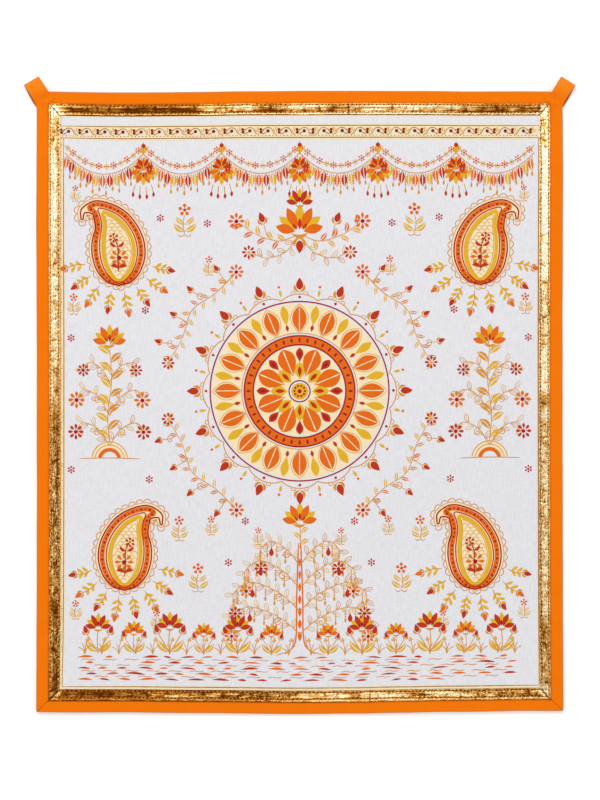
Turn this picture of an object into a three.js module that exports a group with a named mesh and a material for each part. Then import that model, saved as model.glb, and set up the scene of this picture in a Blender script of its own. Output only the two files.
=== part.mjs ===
// A small pichwai: a printed cotton panel with an orange binding folded over its
// edge, a gold gota ribbon sewn on just inside it, and a tape loop at each top corner.
//
// Millimetres. +X runs to the right along the top edge, +Z up, and the face looks
// towards -Y. The origin is the middle of the top edge, on the wall plane y = 0.

import * as THREE from "three";

// ---------------------------------------------------------------- driving sizes

const WIDTH = 559;            // across the bound cloth
const HEIGHT = 660;           // down the bound cloth
const CLOTH = 1.0;            // thickness of every layer
const GAP = 0.3;              // clear space between two pieces
const MITRE_GAP = 0.25;       // taken off each strip at a mitred corner
const SEAM_GAP = 0.35;        // taken off a side strip at the slanting seam of its loop
const CUT_CLEAR = 4;          // least distance from a strip's cut to its next bend
const COLUMNS = 24;           // grid lines across the cloth
const ROWS = 28;              // grid lines down it

// The four edges: how wide the binding shows there, and how wide the ribbon is.
const EDGES = {
  top: { binding: 13.4, ribbon: 12.4 },
  right: { binding: 12.6, ribbon: 11.8 },
  bottom: { binding: 12.6, ribbon: 12.8 },
  left: { binding: 12.2, ribbon: 13.2 },
};

// Depths in front of the wall plane, from the back of the binding to its face.
const BACK_LEG = { back: 0, face: CLOTH };
const PANEL = { back: CLOTH + GAP, face: 2 * CLOTH + GAP };
const FACE_LEG = { back: 2 * CLOTH + 2 * GAP, face: 3 * CLOTH + 2 * GAP };
const PANEL_INSET = CLOTH + GAP;

// ------------------------------------------------------- how the cloth hangs

// The outline is a rectangle whose edges wander by a millimetre or two. Each row is
// a place along the edge and how far the edge stands out from the rectangle there.
const TOP_WANDER = [
  { x: -280, out: 0 },
  { x: -185, out: -1.2 },
  { x: -110, out: -0.6 },
  { x: -50, out: 0.3 },
  { x: 60, out: 0.6 },
  { x: 140, out: 0.4 },
  { x: 175, out: 0 },
  { x: 280, out: 0 },
];
const BOTTOM_WANDER = [
  { x: -280, out: 0 },
  { x: -185, out: 0.1 },
  { x: -105, out: 0.9 },
  { x: 0, out: 1.9 },
  { x: 55, out: 1.5 },
  { x: 107, out: 0.4 },
  { x: 160, out: -0.5 },
  { x: 250, out: -1.5 },
  { x: 280, out: -1.4 },
];
const LEFT_WANDER = [
  { z: -660, out: 0.3 },
  { z: -520, out: -0.3 },
  { z: -330, out: -0.5 },
  { z: -120, out: 0.2 },
  { z: 0, out: 0 },
];
const RIGHT_WANDER = [
  { z: -660, out: 1.1 },
  { z: -480, out: 0.3 },
  { z: -330, out: -0.2 },
  { z: -40, out: 0.5 },
  { z: 0, out: 0 },
];

// The folds and soft billows. A fold lies along a line through (x, z), turned from
// the horizontal, and dies away over its reach and its width. Power 2 is a soft
// billow and a power near 1 a pressed crease. The rise is towards the viewer.
const LIFT = 1.4;             // how far the cloth stands off the wall below its top
const FLAT_TO = -20;          // the cloth is flat on the wall plane down to here
const LIFTED_FROM = -90;      // and hangs at its full lift below here
const FOLDS = [
  { x: 0, z: -330, turn: 0, reach: 900, width: 75, power: 1.2, rise: 2.4 },
  { x: 6, z: -330, turn: 90, reach: 900, width: 60, power: 1.2, rise: -1.0 },
  { x: -190, z: -520, turn: 62, reach: 170, width: 60, power: 2, rise: 1.3 },
  { x: 160, z: -500, turn: 100, reach: 180, width: 70, power: 2, rise: 0.9 },
  { x: -120, z: -190, turn: 80, reach: 160, width: 50, power: 2, rise: -0.7 },
  { x: 190, z: -170, turn: 70, reach: 150, width: 60, power: 2, rise: 0.9 },
];

// ---------------------------------------------------------------- corner loops

const LOOP_TIP = 3.65;        // outer radius of the fold at the loop's tip
const LOOP_OPENS = 0.33;      // share of its length where the two layers part
const LOOP_OPEN = 0.62;       // share of its length where the eye is full
const LOOP_BOW = 1.2;         // how far the hidden layer shows past the outer edge

// The left loop's corners, out of the cloth's top corner (x outward, z up): its seam
// lies along foot to ribbon corner, its tip along tip_outer to tip_inner.
const LOOP = {
  foot: { out: -0.2, up: -17.1 },
  tip_outer: { out: 12.9, up: 5.6 },
  tip_inner: { out: -1.6, up: 15.0 },
};
// Where the tape is bent round: share of its length from the seam to the tip.
const LOOP_STATIONS = [0, 0.16, 0.33, 0.4, 0.47, 0.54, 0.62, 0.75];
const TIP_STEPS = 8;
const BACK_STATIONS = [0.6, 0.33, 0];

// ------------------------------------------------------------------- helpers

const lerp = THREE.MathUtils.lerp;

// Smooth steps from row to row of a wander table, level past its last row.
function wander(table, key, at) {
  const found = table.findIndex((row) => row[key] >= at);
  const next = found < 0 ? table.length - 1 : Math.max(1, found);
  const from = table[next - 1];
  const to = table[next];
  return lerp(from.out, to.out, THREE.MathUtils.smoothstep(at, from[key], to[key]));
}

// How far the cloth stands off the wall plane at (x, z).
function rise(x, z) {
  const height = FOLDS.reduce((sum, fold) => {
    const turn = THREE.MathUtils.degToRad(fold.turn);
    const along = (x - fold.x) * Math.cos(turn) + (z - fold.z) * Math.sin(turn);
    const across = (z - fold.z) * Math.cos(turn) - (x - fold.x) * Math.sin(turn);
    const fade = Math.abs(across / fold.width) ** fold.power + (along / fold.reach) ** 2;
    return sum + fold.rise * Math.exp(-fade);
  }, LIFT);
  return height * (1 - THREE.MathUtils.smoothstep(z, LIFTED_FROM, FLAT_TO));
}

// A point of the flat pattern (x, z), at a depth in its layers, where it hangs.
function hang(x, z, depth) {
  const acrossShare = x / WIDTH + 0.5;
  const downShare = -z / HEIGHT;
  const left = -wander(LEFT_WANDER, "z", z);
  const right = wander(RIGHT_WANDER, "z", z);
  const top = wander(TOP_WANDER, "x", x);
  const bottom = -wander(BOTTOM_WANDER, "x", x);
  const hungX = x + lerp(left, right, acrossShare);
  const hungZ = z + lerp(top, bottom, downShare);
  return new THREE.Vector3(hungX, -(depth + rise(hungX, hungZ)), hungZ);
}

// A closed solid between two sheets of corners, the same count of rows and columns
// in each. corner(row, column, layer) gives them: layer 0 is one face, 1 the other.
function clothSolid(rows, columns, corner) {
  const points = [];
  for (let layer = 0; layer < 2; layer += 1) {
    for (let row = 0; row < rows; row += 1) {
      for (let column = 0; column < columns; column += 1) {
        points.push(corner(row, column, layer));
      }
    }
  }
  const id = (row, column, layer) => (layer * rows + row) * columns + column;
  const triangles = [];
  const quad = (a, b, c, d) => triangles.push([a, b, c], [a, c, d]);
  for (let row = 0; row + 1 < rows; row += 1) {
    for (let column = 0; column + 1 < columns; column += 1) {
      quad(id(row, column, 0), id(row, column + 1, 0), id(row + 1, column + 1, 0), id(row + 1, column, 0));
      quad(id(row, column, 1), id(row + 1, column, 1), id(row + 1, column + 1, 1), id(row, column + 1, 1));
    }
    const last = columns - 1;
    quad(id(row, 0, 0), id(row + 1, 0, 0), id(row + 1, 0, 1), id(row, 0, 1));
    quad(id(row, last, 0), id(row, last, 1), id(row + 1, last, 1), id(row + 1, last, 0));
  }
  for (let column = 0; column + 1 < columns; column += 1) {
    const last = rows - 1;
    quad(id(0, column, 0), id(0, column, 1), id(0, column + 1, 1), id(0, column + 1, 0));
    quad(id(last, column, 0), id(last, column + 1, 0), id(last, column + 1, 1), id(last, column, 1));
  }
  return outward(points, triangles);
}

// The solid's geometry, its triangles turned so that they all face out.
function outward(points, triangles) {
  const volume = triangles.reduce((sum, [a, b, c]) => {
    return sum + points[a].dot(new THREE.Vector3().crossVectors(points[b], points[c]));
  }, 0);
  const turned = volume > 0 ? triangles : triangles.map(([a, b, c]) => [a, c, b]);
  const geometry = new THREE.BufferGeometry().setFromPoints(points);
  geometry.setIndex(turned.flat());
  geometry.computeVertexNormals();
  return geometry;
}

function piece(name, geometry, material) {
  const mesh = new THREE.Mesh(geometry, material);
  mesh.name = name;
  return mesh;
}

// ------------------------------------------------------------------ materials

const cotton = () => new THREE.MeshStandardMaterial({ color: 0xe6e6e9, roughness: 0.9 });
const orangeCotton = () => new THREE.MeshStandardMaterial({ color: 0xf97809, roughness: 0.85 });
const goldFoil = () => new THREE.MeshStandardMaterial({ color: 0xd9a441, roughness: 0.3, metalness: 0.9 });

// --------------------------------------------------------------------- panel

// The grid lines over a length, the first and last drawn in to the panel's own edge.
function gridLines(length, count) {
  const lines = Array.from({ length: count + 1 }, (_, line) => (length * line) / count);
  return lines.map((line) => THREE.MathUtils.clamp(line, PANEL_INSET, length - PANEL_INSET));
}

function panel() {
  const across = gridLines(WIDTH, COLUMNS);
  const down = gridLines(HEIGHT, ROWS);
  return clothSolid(down.length, across.length, (row, column, layer) => {
    return hang(across[column] - WIDTH / 2, -down[row], layer === 0 ? PANEL.face : PANEL.back);
  });
}

// -------------------------------------------------------------- edge strips

// Each edge runs from one corner of the flat pattern to the next, clockwise.
const RUNS = {
  top: { from: [-WIDTH / 2, 0], along: [1, 0], inward: [0, -1], length: WIDTH, lines: COLUMNS },
  right: { from: [WIDTH / 2, 0], along: [0, -1], inward: [-1, 0], length: HEIGHT, lines: ROWS },
  bottom: { from: [WIDTH / 2, -HEIGHT], along: [-1, 0], inward: [0, 1], length: WIDTH, lines: COLUMNS },
  left: { from: [-WIDTH / 2, -HEIGHT], along: [0, 1], inward: [1, 0], length: HEIGHT, lines: ROWS },
};
const BEFORE = { top: "left", right: "top", bottom: "right", left: "bottom" };
const AFTER = { top: "right", right: "bottom", bottom: "left", left: "top" };

// A strip along one edge. profile is a list of [face, back] corner pairs, each with
// its distance in from the edge and its depth. Both ends are cut along a straight
// line, given as its distance from the corner at the strip's outer and inner side.
// Between them the strip bends on those of the panel's grid lines that clear its cuts.
function strip(edge, outer, inner, profile, startCut, endCut) {
  const run = RUNS[edge];
  const first = Math.max(startCut.outer, startCut.inner) + CUT_CLEAR;
  const last = run.length - Math.max(endCut.outer, endCut.inner) - CUT_CLEAR;
  const lines = gridLines(run.length, run.lines).filter((line) => line > first && line < last);
  return clothSolid(lines.length + 2, profile.length, (row, column, layer) => {
    const { inset, depth } = profile[column][layer];
    const share = (inset - outer) / (inner - outer);
    const start = lerp(startCut.outer, startCut.inner, share);
    const end = run.length - lerp(endCut.outer, endCut.inner, share);
    const along = [start, ...lines, end][row];
    const x = run.from[0] + run.along[0] * along + run.inward[0] * inset;
    const z = run.from[1] + run.along[1] * along + run.inward[1] * inset;
    return hang(x, z, depth);
  });
}

// The binding's section: cloth folded round the edge, with a soft bend outside.
function bindingProfile(width) {
  const middle = FACE_LEG.face / 2;
  const bend = [
    { inset: 1.2, depth: FACE_LEG.face, innerInset: 1.2, innerDepth: FACE_LEG.back },
    { inset: 0.35, depth: FACE_LEG.face - 0.35, innerInset: 1.05, innerDepth: FACE_LEG.back - 0.15 },
    { inset: 0, depth: middle + 0.6, innerInset: CLOTH, innerDepth: middle + 0.3 },
  ];
  const facing = [
    [{ inset: width, depth: FACE_LEG.face }, { inset: width, depth: FACE_LEG.back }],
    ...bend.map((row) => [
      { inset: row.inset, depth: row.depth },
      { inset: row.innerInset, depth: row.innerDepth },
    ]),
  ];
  const mirrored = facing.toReversed().map((pair) => {
    return pair.map((corner) => ({ inset: corner.inset, depth: 2 * middle - corner.depth }));
  });
  return [...facing, ...mirrored];
}

function binding(edge) {
  const width = EDGES[edge].binding;
  const mitre = (other) => ({ outer: MITRE_GAP, inner: EDGES[other].binding + MITRE_GAP });
  const butt = (other) => ({ outer: EDGES[other].binding + GAP, inner: EDGES[other].binding + GAP });
  const seam = { outer: SEAM_GAP - LOOP.foot.up, inner: SEAM_GAP + EDGES.top.binding };
  const cuts = {
    top: [butt("left"), butt("right")],
    right: [seam, mitre("bottom")],
    bottom: [mitre("right"), mitre("left")],
    left: [mitre("bottom"), seam],
  };
  return strip(edge, 0, width, bindingProfile(width), ...cuts[edge]);
}

function ribbon(edge) {
  const outer = EDGES[edge].binding + GAP;
  const inner = EDGES[edge].binding + EDGES[edge].ribbon;
  const profile = [outer, inner].map((inset) => [
    { inset, depth: FACE_LEG.face },
    { inset, depth: FACE_LEG.back },
  ]);
  const mitre = (other) => ({
    outer: EDGES[other].binding + GAP + MITRE_GAP,
    inner: EDGES[other].binding + EDGES[other].ribbon + MITRE_GAP,
  });
  return strip(edge, outer, inner, profile, mitre(BEFORE[edge]), mitre(AFTER[edge]));
}

// --------------------------------------------------------------------- loops

// The tape's middle line in a loop: along is its share from the seam to the tip, depth
// its distance from the wall. The face layer lifts off, turns round at the tip and
// comes back flat on the wall plane.
function loopPath(length) {
  const faceDepth = (FACE_LEG.face + FACE_LEG.back) / 2;
  const radius = LOOP_TIP - CLOTH / 2;
  const tipStart = 1 - LOOP_TIP / length;
  const face = [...LOOP_STATIONS, tipStart].map((along) => ({
    along,
    depth: lerp(faceDepth, LOOP_TIP + radius, THREE.MathUtils.smoothstep(along, LOOP_OPENS, LOOP_OPEN)),
  }));
  const tip = Array.from({ length: TIP_STEPS }, (_, step) => {
    const turn = (Math.PI * (step + 1)) / TIP_STEPS;
    return {
      along: tipStart + (Math.sin(turn) * radius) / length,
      depth: LOOP_TIP + Math.cos(turn) * radius,
    };
  });
  const back = BACK_STATIONS.map((along) => ({ along, depth: CLOTH / 2 }));
  return [...face, ...tip, ...back];
}

// side is -1 for the left corner and 1 for the right.
function loop(side, edge) {
  const corner = (out, up) => {
    const hung = hang(side * (WIDTH / 2 + out), up, 0);
    return new THREE.Vector2(hung.x, hung.z);
  };
  const foot = corner(LOOP.foot.out, LOOP.foot.up);
  const tipOuter = corner(LOOP.tip_outer.out, LOOP.tip_outer.up);
  const tipInner = corner(LOOP.tip_inner.out, LOOP.tip_inner.up);
  const ribbonCorner = corner(-EDGES[edge].binding, -EDGES.top.binding);
  const topCorner = corner(-EDGES[edge].binding, 0);
  const seamMiddle = foot.clone().lerp(ribbonCorner, 0.5);
  const tipMiddle = tipOuter.clone().lerp(tipInner, 0.5);
  const length = seamMiddle.distanceTo(tipMiddle);
  const outside = tipOuter.clone().sub(tipInner).normalize();
  const topShare = topCorner.distanceTo(ribbonCorner) / length;
  const path = loopPath(length);
  const edgePoint = (inside, along) => {
    if (!inside) {
      return foot.clone().lerp(tipOuter, along);
    }
    if (along < topShare) {
      return ribbonCorner.clone().lerp(topCorner, along / topShare);
    }
    return topCorner.clone().lerp(tipInner, (along - topShare) / (1 - topShare));
  };
  return clothSolid(path.length, 2, (row, column, layer) => {
    const before = path[Math.max(0, row - 1)];
    const after = path[Math.min(path.length - 1, row + 1)];
    const run = new THREE.Vector2((after.along - before.along) * length, after.depth - before.depth);
    run.normalize();
    const shift = layer === 0 ? CLOTH / 2 : -CLOTH / 2;
    const along = path[row].along - (run.y * shift) / length;
    const depth = path[row].depth + run.x * shift;
    const point = edgePoint(column === 1, along);
    const hidden = THREE.MathUtils.clamp((2 * LOOP_TIP - depth) / (2 * LOOP_TIP), 0, 1);
    if (column === 0 && row >= LOOP_STATIONS.length) {
      point.addScaledVector(outside, LOOP_BOW * hidden * Math.sin(Math.PI * Math.min(along, 1)));
    }
    return new THREE.Vector3(point.x, -depth, point.y);
  });
}

// ------------------------------------------------------------------ assembly

const group = new THREE.Group();
group.name = "pichwai";
group.add(piece("panel", panel(), cotton()));
for (const edge of Object.keys(EDGES)) {
  group.add(piece(`binding_${edge}`, binding(edge), orangeCotton()));
  group.add(piece(`ribbon_${edge}`, ribbon(edge), goldFoil()));
}
group.add(piece("loop_left", loop(-1, "left"), orangeCotton()));
group.add(piece("loop_right", loop(1, "right"), orangeCotton()));

export default group;
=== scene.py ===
import math
from collections import defaultdict, namedtuple

import bpy
import numpy as np
from bpy.props import FloatProperty, FloatVectorProperty, IntProperty, PointerProperty
from bpy.types import Operator, Panel, PropertyGroup
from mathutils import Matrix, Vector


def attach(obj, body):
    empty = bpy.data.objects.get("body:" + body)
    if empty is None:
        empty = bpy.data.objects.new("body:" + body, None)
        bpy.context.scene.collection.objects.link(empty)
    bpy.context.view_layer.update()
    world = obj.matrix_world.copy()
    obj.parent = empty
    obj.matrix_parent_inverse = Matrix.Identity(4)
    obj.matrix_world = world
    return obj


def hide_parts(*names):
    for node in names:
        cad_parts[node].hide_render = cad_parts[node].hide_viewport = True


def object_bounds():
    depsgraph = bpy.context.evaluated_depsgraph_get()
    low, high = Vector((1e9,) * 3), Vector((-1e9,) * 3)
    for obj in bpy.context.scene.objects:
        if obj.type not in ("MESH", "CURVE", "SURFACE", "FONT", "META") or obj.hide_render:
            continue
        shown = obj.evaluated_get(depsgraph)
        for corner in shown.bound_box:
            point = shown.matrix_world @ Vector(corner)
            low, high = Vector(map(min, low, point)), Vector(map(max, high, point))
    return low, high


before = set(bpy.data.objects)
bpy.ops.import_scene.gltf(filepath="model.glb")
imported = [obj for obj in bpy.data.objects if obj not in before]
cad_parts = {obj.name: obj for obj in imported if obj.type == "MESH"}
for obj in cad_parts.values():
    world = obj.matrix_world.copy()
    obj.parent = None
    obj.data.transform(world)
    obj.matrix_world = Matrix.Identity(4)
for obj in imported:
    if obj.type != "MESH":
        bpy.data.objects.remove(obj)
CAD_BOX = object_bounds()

bl_info = {
    "name": "Pichwai, a small printed cloth hanging",
    "version": (1, 0, 0),
    "blender": (4, 5, 0),
    "location": "View3D > Sidebar > Pichwai",
    "description": "A printed cotton panel with a gota ribbon, an orange binding and two corner loops",
    "category": "Add Mesh",
}

# Lengths in the tables and functions below are millimetres. x runs to the right along
# the cloth's top edge, z up from it, and a depth is measured from the wall plane
# towards the viewer, who stands on the -Y side. Work.make() turns them into metres.
MM = 0.001

# ---- sizes

WIDTH = 559              # across the bound cloth
HEIGHT = 660             # down the bound cloth

# Widths at each edge: the binding, where the foil ribbon begins and ends, and how far
# its two rows of stitches lie from its outer and its inner side.
Edge = namedtuple("Edge", "binding foil_from foil_to outer_row inner_row")
EDGES = {
    "top": Edge(12.7, 13.0, 25.6, 1.7, 2.9),
    "right": Edge(13.3, 13.5, 25.1, 1.9, 1.8),
    "bottom": Edge(12.6, 12.3, 24.7, 3.6, 1.9),
    "left": Edge(12.9, 13.2, 25.0, 2.0, 1.6),
}
BEFORE = {"top": "left", "right": "top", "bottom": "right", "left": "bottom"}
AFTER = {"top": "right", "right": "bottom", "bottom": "left", "left": "top"}
SIDES = {"left": -1, "right": 1}         # which way along x is outwards

# Each edge runs clockwise from one corner of the flat pattern to the next.
Run = namedtuple("Run", "start along inward length")
RUNS = {
    "top": Run((-WIDTH / 2, 0), (1, 0), (0, -1), WIDTH),
    "right": Run((WIDTH / 2, 0), (0, -1), (-1, 0), HEIGHT),
    "bottom": Run((WIDTH / 2, -HEIGHT), (-1, 0), (0, 1), WIDTH),
    "left": Run((-WIDTH / 2, -HEIGHT), (0, 1), (1, 0), HEIGHT),
}

BINDING_FACE = 3.6       # depth of the binding's face
PANEL_FACE = 2.3         # depth of the printed face
PANEL_INSET = 1.3        # from the bound edge in to the panel's own edge

# ---- how the cloth hangs

# The outline wanders by a millimetre or two: a place along the edge, and how far the
# edge stands out from the rectangle there.
TOP_WANDER = (
    (-280, 0), (-185, -1.2), (-110, -0.6), (-50, 0.3), (60, 0.6), (140, 0.4), (175, 0), (280, 0),
)
BOTTOM_WANDER = (
    (-280, 0), (-185, 0.1), (-105, 0.9), (0, 1.9), (55, 1.5), (107, 0.4), (160, -0.5), (250, -1.5),
    (280, -1.4),
)
LEFT_WANDER = ((-660, 0.3), (-520, -0.3), (-330, -0.5), (-120, 0.2), (0, 0))
RIGHT_WANDER = ((-660, 1.1), (-480, 0.3), (-330, -0.2), (-40, 0.5), (0, 0))

LIFT = 1.4               # how far the cloth stands off the wall below its top
FLAT_TO = -20            # it is flat on the wall plane down to here
LIFTED_FROM = -90        # and at its full lift below here

# A fold lies along a line through (x, z), turned from the horizontal, and dies away
# over its reach and its width. Power 2 is a soft billow, a power near 1 a press crease.
Fold = namedtuple("Fold", "x z turn reach width power rise")
FOLDS = (
    Fold(0, -330, 0, 900, 75, 1.2, 2.4),
    Fold(6, -330, 90, 900, 60, 1.2, -1.0),
    Fold(-190, -520, 62, 170, 60, 2, 1.3),
    Fold(160, -500, 100, 180, 70, 2, 0.9),
    Fold(-120, -190, 80, 160, 50, 2, -0.7),
    Fold(190, -170, 70, 150, 60, 2, 0.9),
)

# The slack of the cotton between its seams: shallow waves in several directions.
Wave = namedtuple("Wave", "heading length rise shift")
WAVES = (
    Wave(12, 61, 0.050, 0.1),
    Wave(78, 47, 0.040, 0.6),
    Wave(-35, 83, 0.070, 0.3),
    Wave(55, 37, 0.025, 0.8),
    Wave(100, 29, 0.018, 0.4),
)


def lerp(start, end, share):
    """The value that lies that share of the way from start to end."""
    return start + (end - start) * share


def smoothstep(low, high, at):
    """0 below low, 1 above high, and an S-curve between them."""
    share = np.clip((at - low) / (high - low), 0, 1)
    return share * share * (3 - 2 * share)


def bell(at, width):
    """A bell curve, exp(-(at / width) ** 2): 1 at 0, and 0.37 at its width on both sides."""
    return np.exp(-((at / width) ** 2))


def noise(u, v, seed):
    """Random heights from -1 to 1 at whole steps of u and v, eased into each other."""
    table = np.random.default_rng(seed).uniform(-1, 1, (64, 64))
    left, low = np.floor(u).astype(int), np.floor(v).astype(int)
    across, up = smoothstep(0, 1, u - left), smoothstep(0, 1, v - low)

    def height(right, above):
        return table[(left + right) % 64, (low + above) % 64]

    lower = lerp(height(0, 0), height(1, 0), across)
    upper = lerp(height(0, 1), height(1, 1), across)
    return lerp(lower, upper, up)


def wander(table, at):
    """Smooth steps from row to row of a table of two columns, level past its ends."""
    places, values = np.array(table, float).T
    after = np.clip(np.searchsorted(places, at), 1, len(places) - 1)
    share = smoothstep(places[after - 1], places[after], at)
    return lerp(values[after - 1], values[after], share)


def along_and_across(x, z, degrees):
    """Distances along a line that is turned from the horizontal, and across it."""
    cos, sin = math.cos(math.radians(degrees)), math.sin(math.radians(degrees))
    return x * cos + z * sin, z * cos - x * sin


def hump(fold, x, z):
    """A fold's relief: rise * exp(-(across / width) ** power - (along / reach) ** 2)."""
    along, across = along_and_across(x - fold.x, z - fold.z, fold.turn)
    return fold.rise * np.exp(-(np.abs(across / fold.width) ** fold.power) - (along / fold.reach) ** 2)


def rise(x, z):
    """How far the cloth stands off the wall plane: its lift, plus each fold's hump, plus
    the shallow waves, all faded out towards the flat top edge."""
    height = LIFT + sum(hump(fold, x, z) for fold in FOLDS)
    for wave in WAVES:
        along, _ = along_and_across(x, z, wave.heading)
        height = height + wave.rise * np.sin(2 * np.pi * (along / wave.length + wave.shift))
    return height * (1 - smoothstep(LIFTED_FROM, FLAT_TO, z))


def hang(x, z, depth):
    """Where points of the flat pattern hang: moved with the wandering outline, and
    forward by their depth in the layers and the cloth's rise."""
    left, right = -wander(LEFT_WANDER, z), wander(RIGHT_WANDER, z)
    top, bottom = wander(TOP_WANDER, x), -wander(BOTTOM_WANDER, x)
    hung_x = x + lerp(left, right, x / WIDTH + 0.5)
    hung_z = z + lerp(top, bottom, -z / HEIGHT)
    return np.stack(np.broadcast_arrays(hung_x, -(depth + rise(hung_x, hung_z)), hung_z), axis=-1)


def pattern(edge, along, inset):
    """The x and z of places along an edge of the flat pattern and inset from it."""
    run = RUNS[edge]
    x = run.start[0] + run.along[0] * along + run.inward[0] * inset
    z = run.start[1] + run.along[1] * along + run.inward[1] * inset
    return x, z


# ---- meshes


def squares(grid):
    """The four corners of every square in a grid (..., rows, columns)."""
    four = (grid[..., :-1, :-1], grid[..., 1:, :-1], grid[..., 1:, 1:], grid[..., :-1, 1:])
    return np.stack(four, axis=-1).reshape(-1, 4)


def distances(points):
    """How far each point of a row lies from the first, measured along the row."""
    steps = np.linalg.norm(np.diff(points, axis=0), axis=1)
    return np.concatenate([[0.0], np.cumsum(steps)])


class Work:
    """Grids of points gathered into one mesh. Each corner of a face has a place on the
    piece's flat chart, in millimetres, and each point may have named values."""

    MARGIN = 0.03            # bare rim round each row of the chart, as a share of it
    BACK_SHARE = 0.4         # how far a sheet's back is squeezed on the chart

    def __init__(self):
        self.points, self.faces, self.charts = [], [], []
        self.values = defaultdict(list)
        self.count = 0

    def add_points(self, points, **values):
        """Adds points of any shape (..., 3) and gives their numbers in that shape."""
        shape = points.shape[:-1]
        numbers = self.count + np.arange(math.prod(shape)).reshape(shape)
        self.count += numbers.size
        self.points.append(points.reshape(-1, 3))
        for name, value in values.items():
            self.values[name].append(np.broadcast_to(value, shape).ravel())
        return numbers

    def add_quads(self, numbers, along, around):
        """Joins neighbouring points of a grid. along and around are their chart places."""
        self.faces.append(squares(numbers))
        places = [squares(np.broadcast_to(place, numbers.shape)) for place in (along, around)]
        self.charts.append(np.stack(places, axis=-1))

    def add_grid(self, points, along, around):
        """Adds a grid of points (..., rows, columns, 3) and the quads between them."""
        self.add_quads(self.add_points(points), along, around)

    def add_lids(self, rings, along, around):
        """Closes tube ends: each row of rings is one polygon."""
        self.faces.append(rings)
        places = [np.broadcast_to(place, rings.shape) for place in (along, around)]
        self.charts.append(np.stack(places, axis=-1))

    def add_sheet(self, front, back, **values):
        """A closed sheet between two grids (rows, columns, 3). Its section runs across
        the front, round the edge and across the back, and a row of quads closes each
        end. On the chart the back is squeezed."""
        columns = front.shape[1]
        section = np.concatenate([front, back[:, ::-1]], axis=1)
        mirrored = {key: np.concatenate([v, v[:, ::-1]], axis=1) for key, v in values.items()}
        numbers = self.add_points(section, **mirrored)
        middle = len(front) // 2
        around = distances(np.concatenate([section[middle], section[middle, :1]]))
        front_width = around[columns - 1]
        around = np.minimum(around, lerp(front_width, around, self.BACK_SHARE))
        along = distances(front[:, columns // 2])
        looped = np.concatenate([numbers, numbers[:, :1]], axis=1)
        self.add_quads(looped, along[:, None], around)
        faces, backs = numbers[:, :columns], numbers[:, columns:][:, ::-1]
        beyond = along[-1] * (1 + self.MARGIN)
        thick = distances(np.stack([front[0, 0], back[0, 0]]))[:, None]
        self.add_quads(np.stack([backs[0], faces[0]]), beyond + thick, around[:columns])
        lower = beyond * (1 + self.MARGIN) + thick
        self.add_quads(np.stack([faces[-1], backs[-1]]), lower, around[:columns])

    def volume(self):
        """Six times the enclosed volume, below 0 where the faces point inwards."""
        points = np.concatenate(self.points)
        total = 0.0
        for faces in self.faces:
            for corner in range(1, faces.shape[1] - 1):
                a, b, c = points[faces[:, 0]], points[faces[:, corner]], points[faces[:, corner + 1]]
                total += np.einsum("ij,ij->", a, np.cross(b, c))
        return total

    def chart(self, rows):
        """The chart's places between 0 and 1. A long strip is cut into equal rows, laid
        one above the other, so that it fills the square."""
        every = np.concatenate([chart.reshape(-1, 2) for chart in self.charts])
        low, size = every.min(axis=0), np.ptp(every, axis=0)
        laid = []
        for chart in self.charts:
            share = (chart - low) / size
            row = np.minimum(np.floor(share[..., 0].mean(axis=1, keepdims=True) * rows), rows - 1)
            u = self.MARGIN + (1 - 2 * self.MARGIN) * (share[..., 0] * rows - row)
            v = (row + self.MARGIN + (1 - 2 * self.MARGIN) * share[..., 1]) / rows
            laid.append(np.stack([u, v], axis=-1).reshape(-1, 2))
        return np.concatenate(laid)

    def make(self, name, material, chart_rows=1, solid=True, sharp=42):
        """Makes the mesh and its object, in metres, riding on the cloth's own body."""
        if solid and self.volume() < 0:
            self.faces = [faces[:, ::-1] for faces in self.faces]
            self.charts = [chart[:, ::-1] for chart in self.charts]
        corners = np.concatenate([faces.ravel() for faces in self.faces])
        sizes = np.concatenate([np.full(len(faces), faces.shape[1]) for faces in self.faces])
        mesh = bpy.data.meshes.new(name)
        mesh.vertices.add(self.count)
        mesh.vertices.foreach_set("co", (np.concatenate(self.points) * MM).ravel())
        mesh.loops.add(len(corners))
        mesh.loops.foreach_set("vertex_index", corners)
        mesh.polygons.add(len(sizes))
        mesh.polygons.foreach_set("loop_start", np.cumsum(sizes) - sizes)
        mesh.update(calc_edges=True)
        if mesh.validate():
            raise RuntimeError(f"{name} has faulty faces")
        mesh.uv_layers.new(name="OFBake").uv.foreach_set("vector", self.chart(chart_rows).ravel())
        for key, parts in self.values.items():
            values = np.concatenate(parts)
            mesh.attributes.new(key, "FLOAT", "POINT").data.foreach_set("value", values)
        mesh.shade_smooth()
        mesh.set_sharp_from_angle(angle=math.radians(sharp))
        mesh.materials.append(material)
        piece = bpy.data.objects.new(name, mesh)
        bpy.context.scene.collection.objects.link(piece)
        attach(piece, "root")
        return piece


# ---- shader helpers


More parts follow.
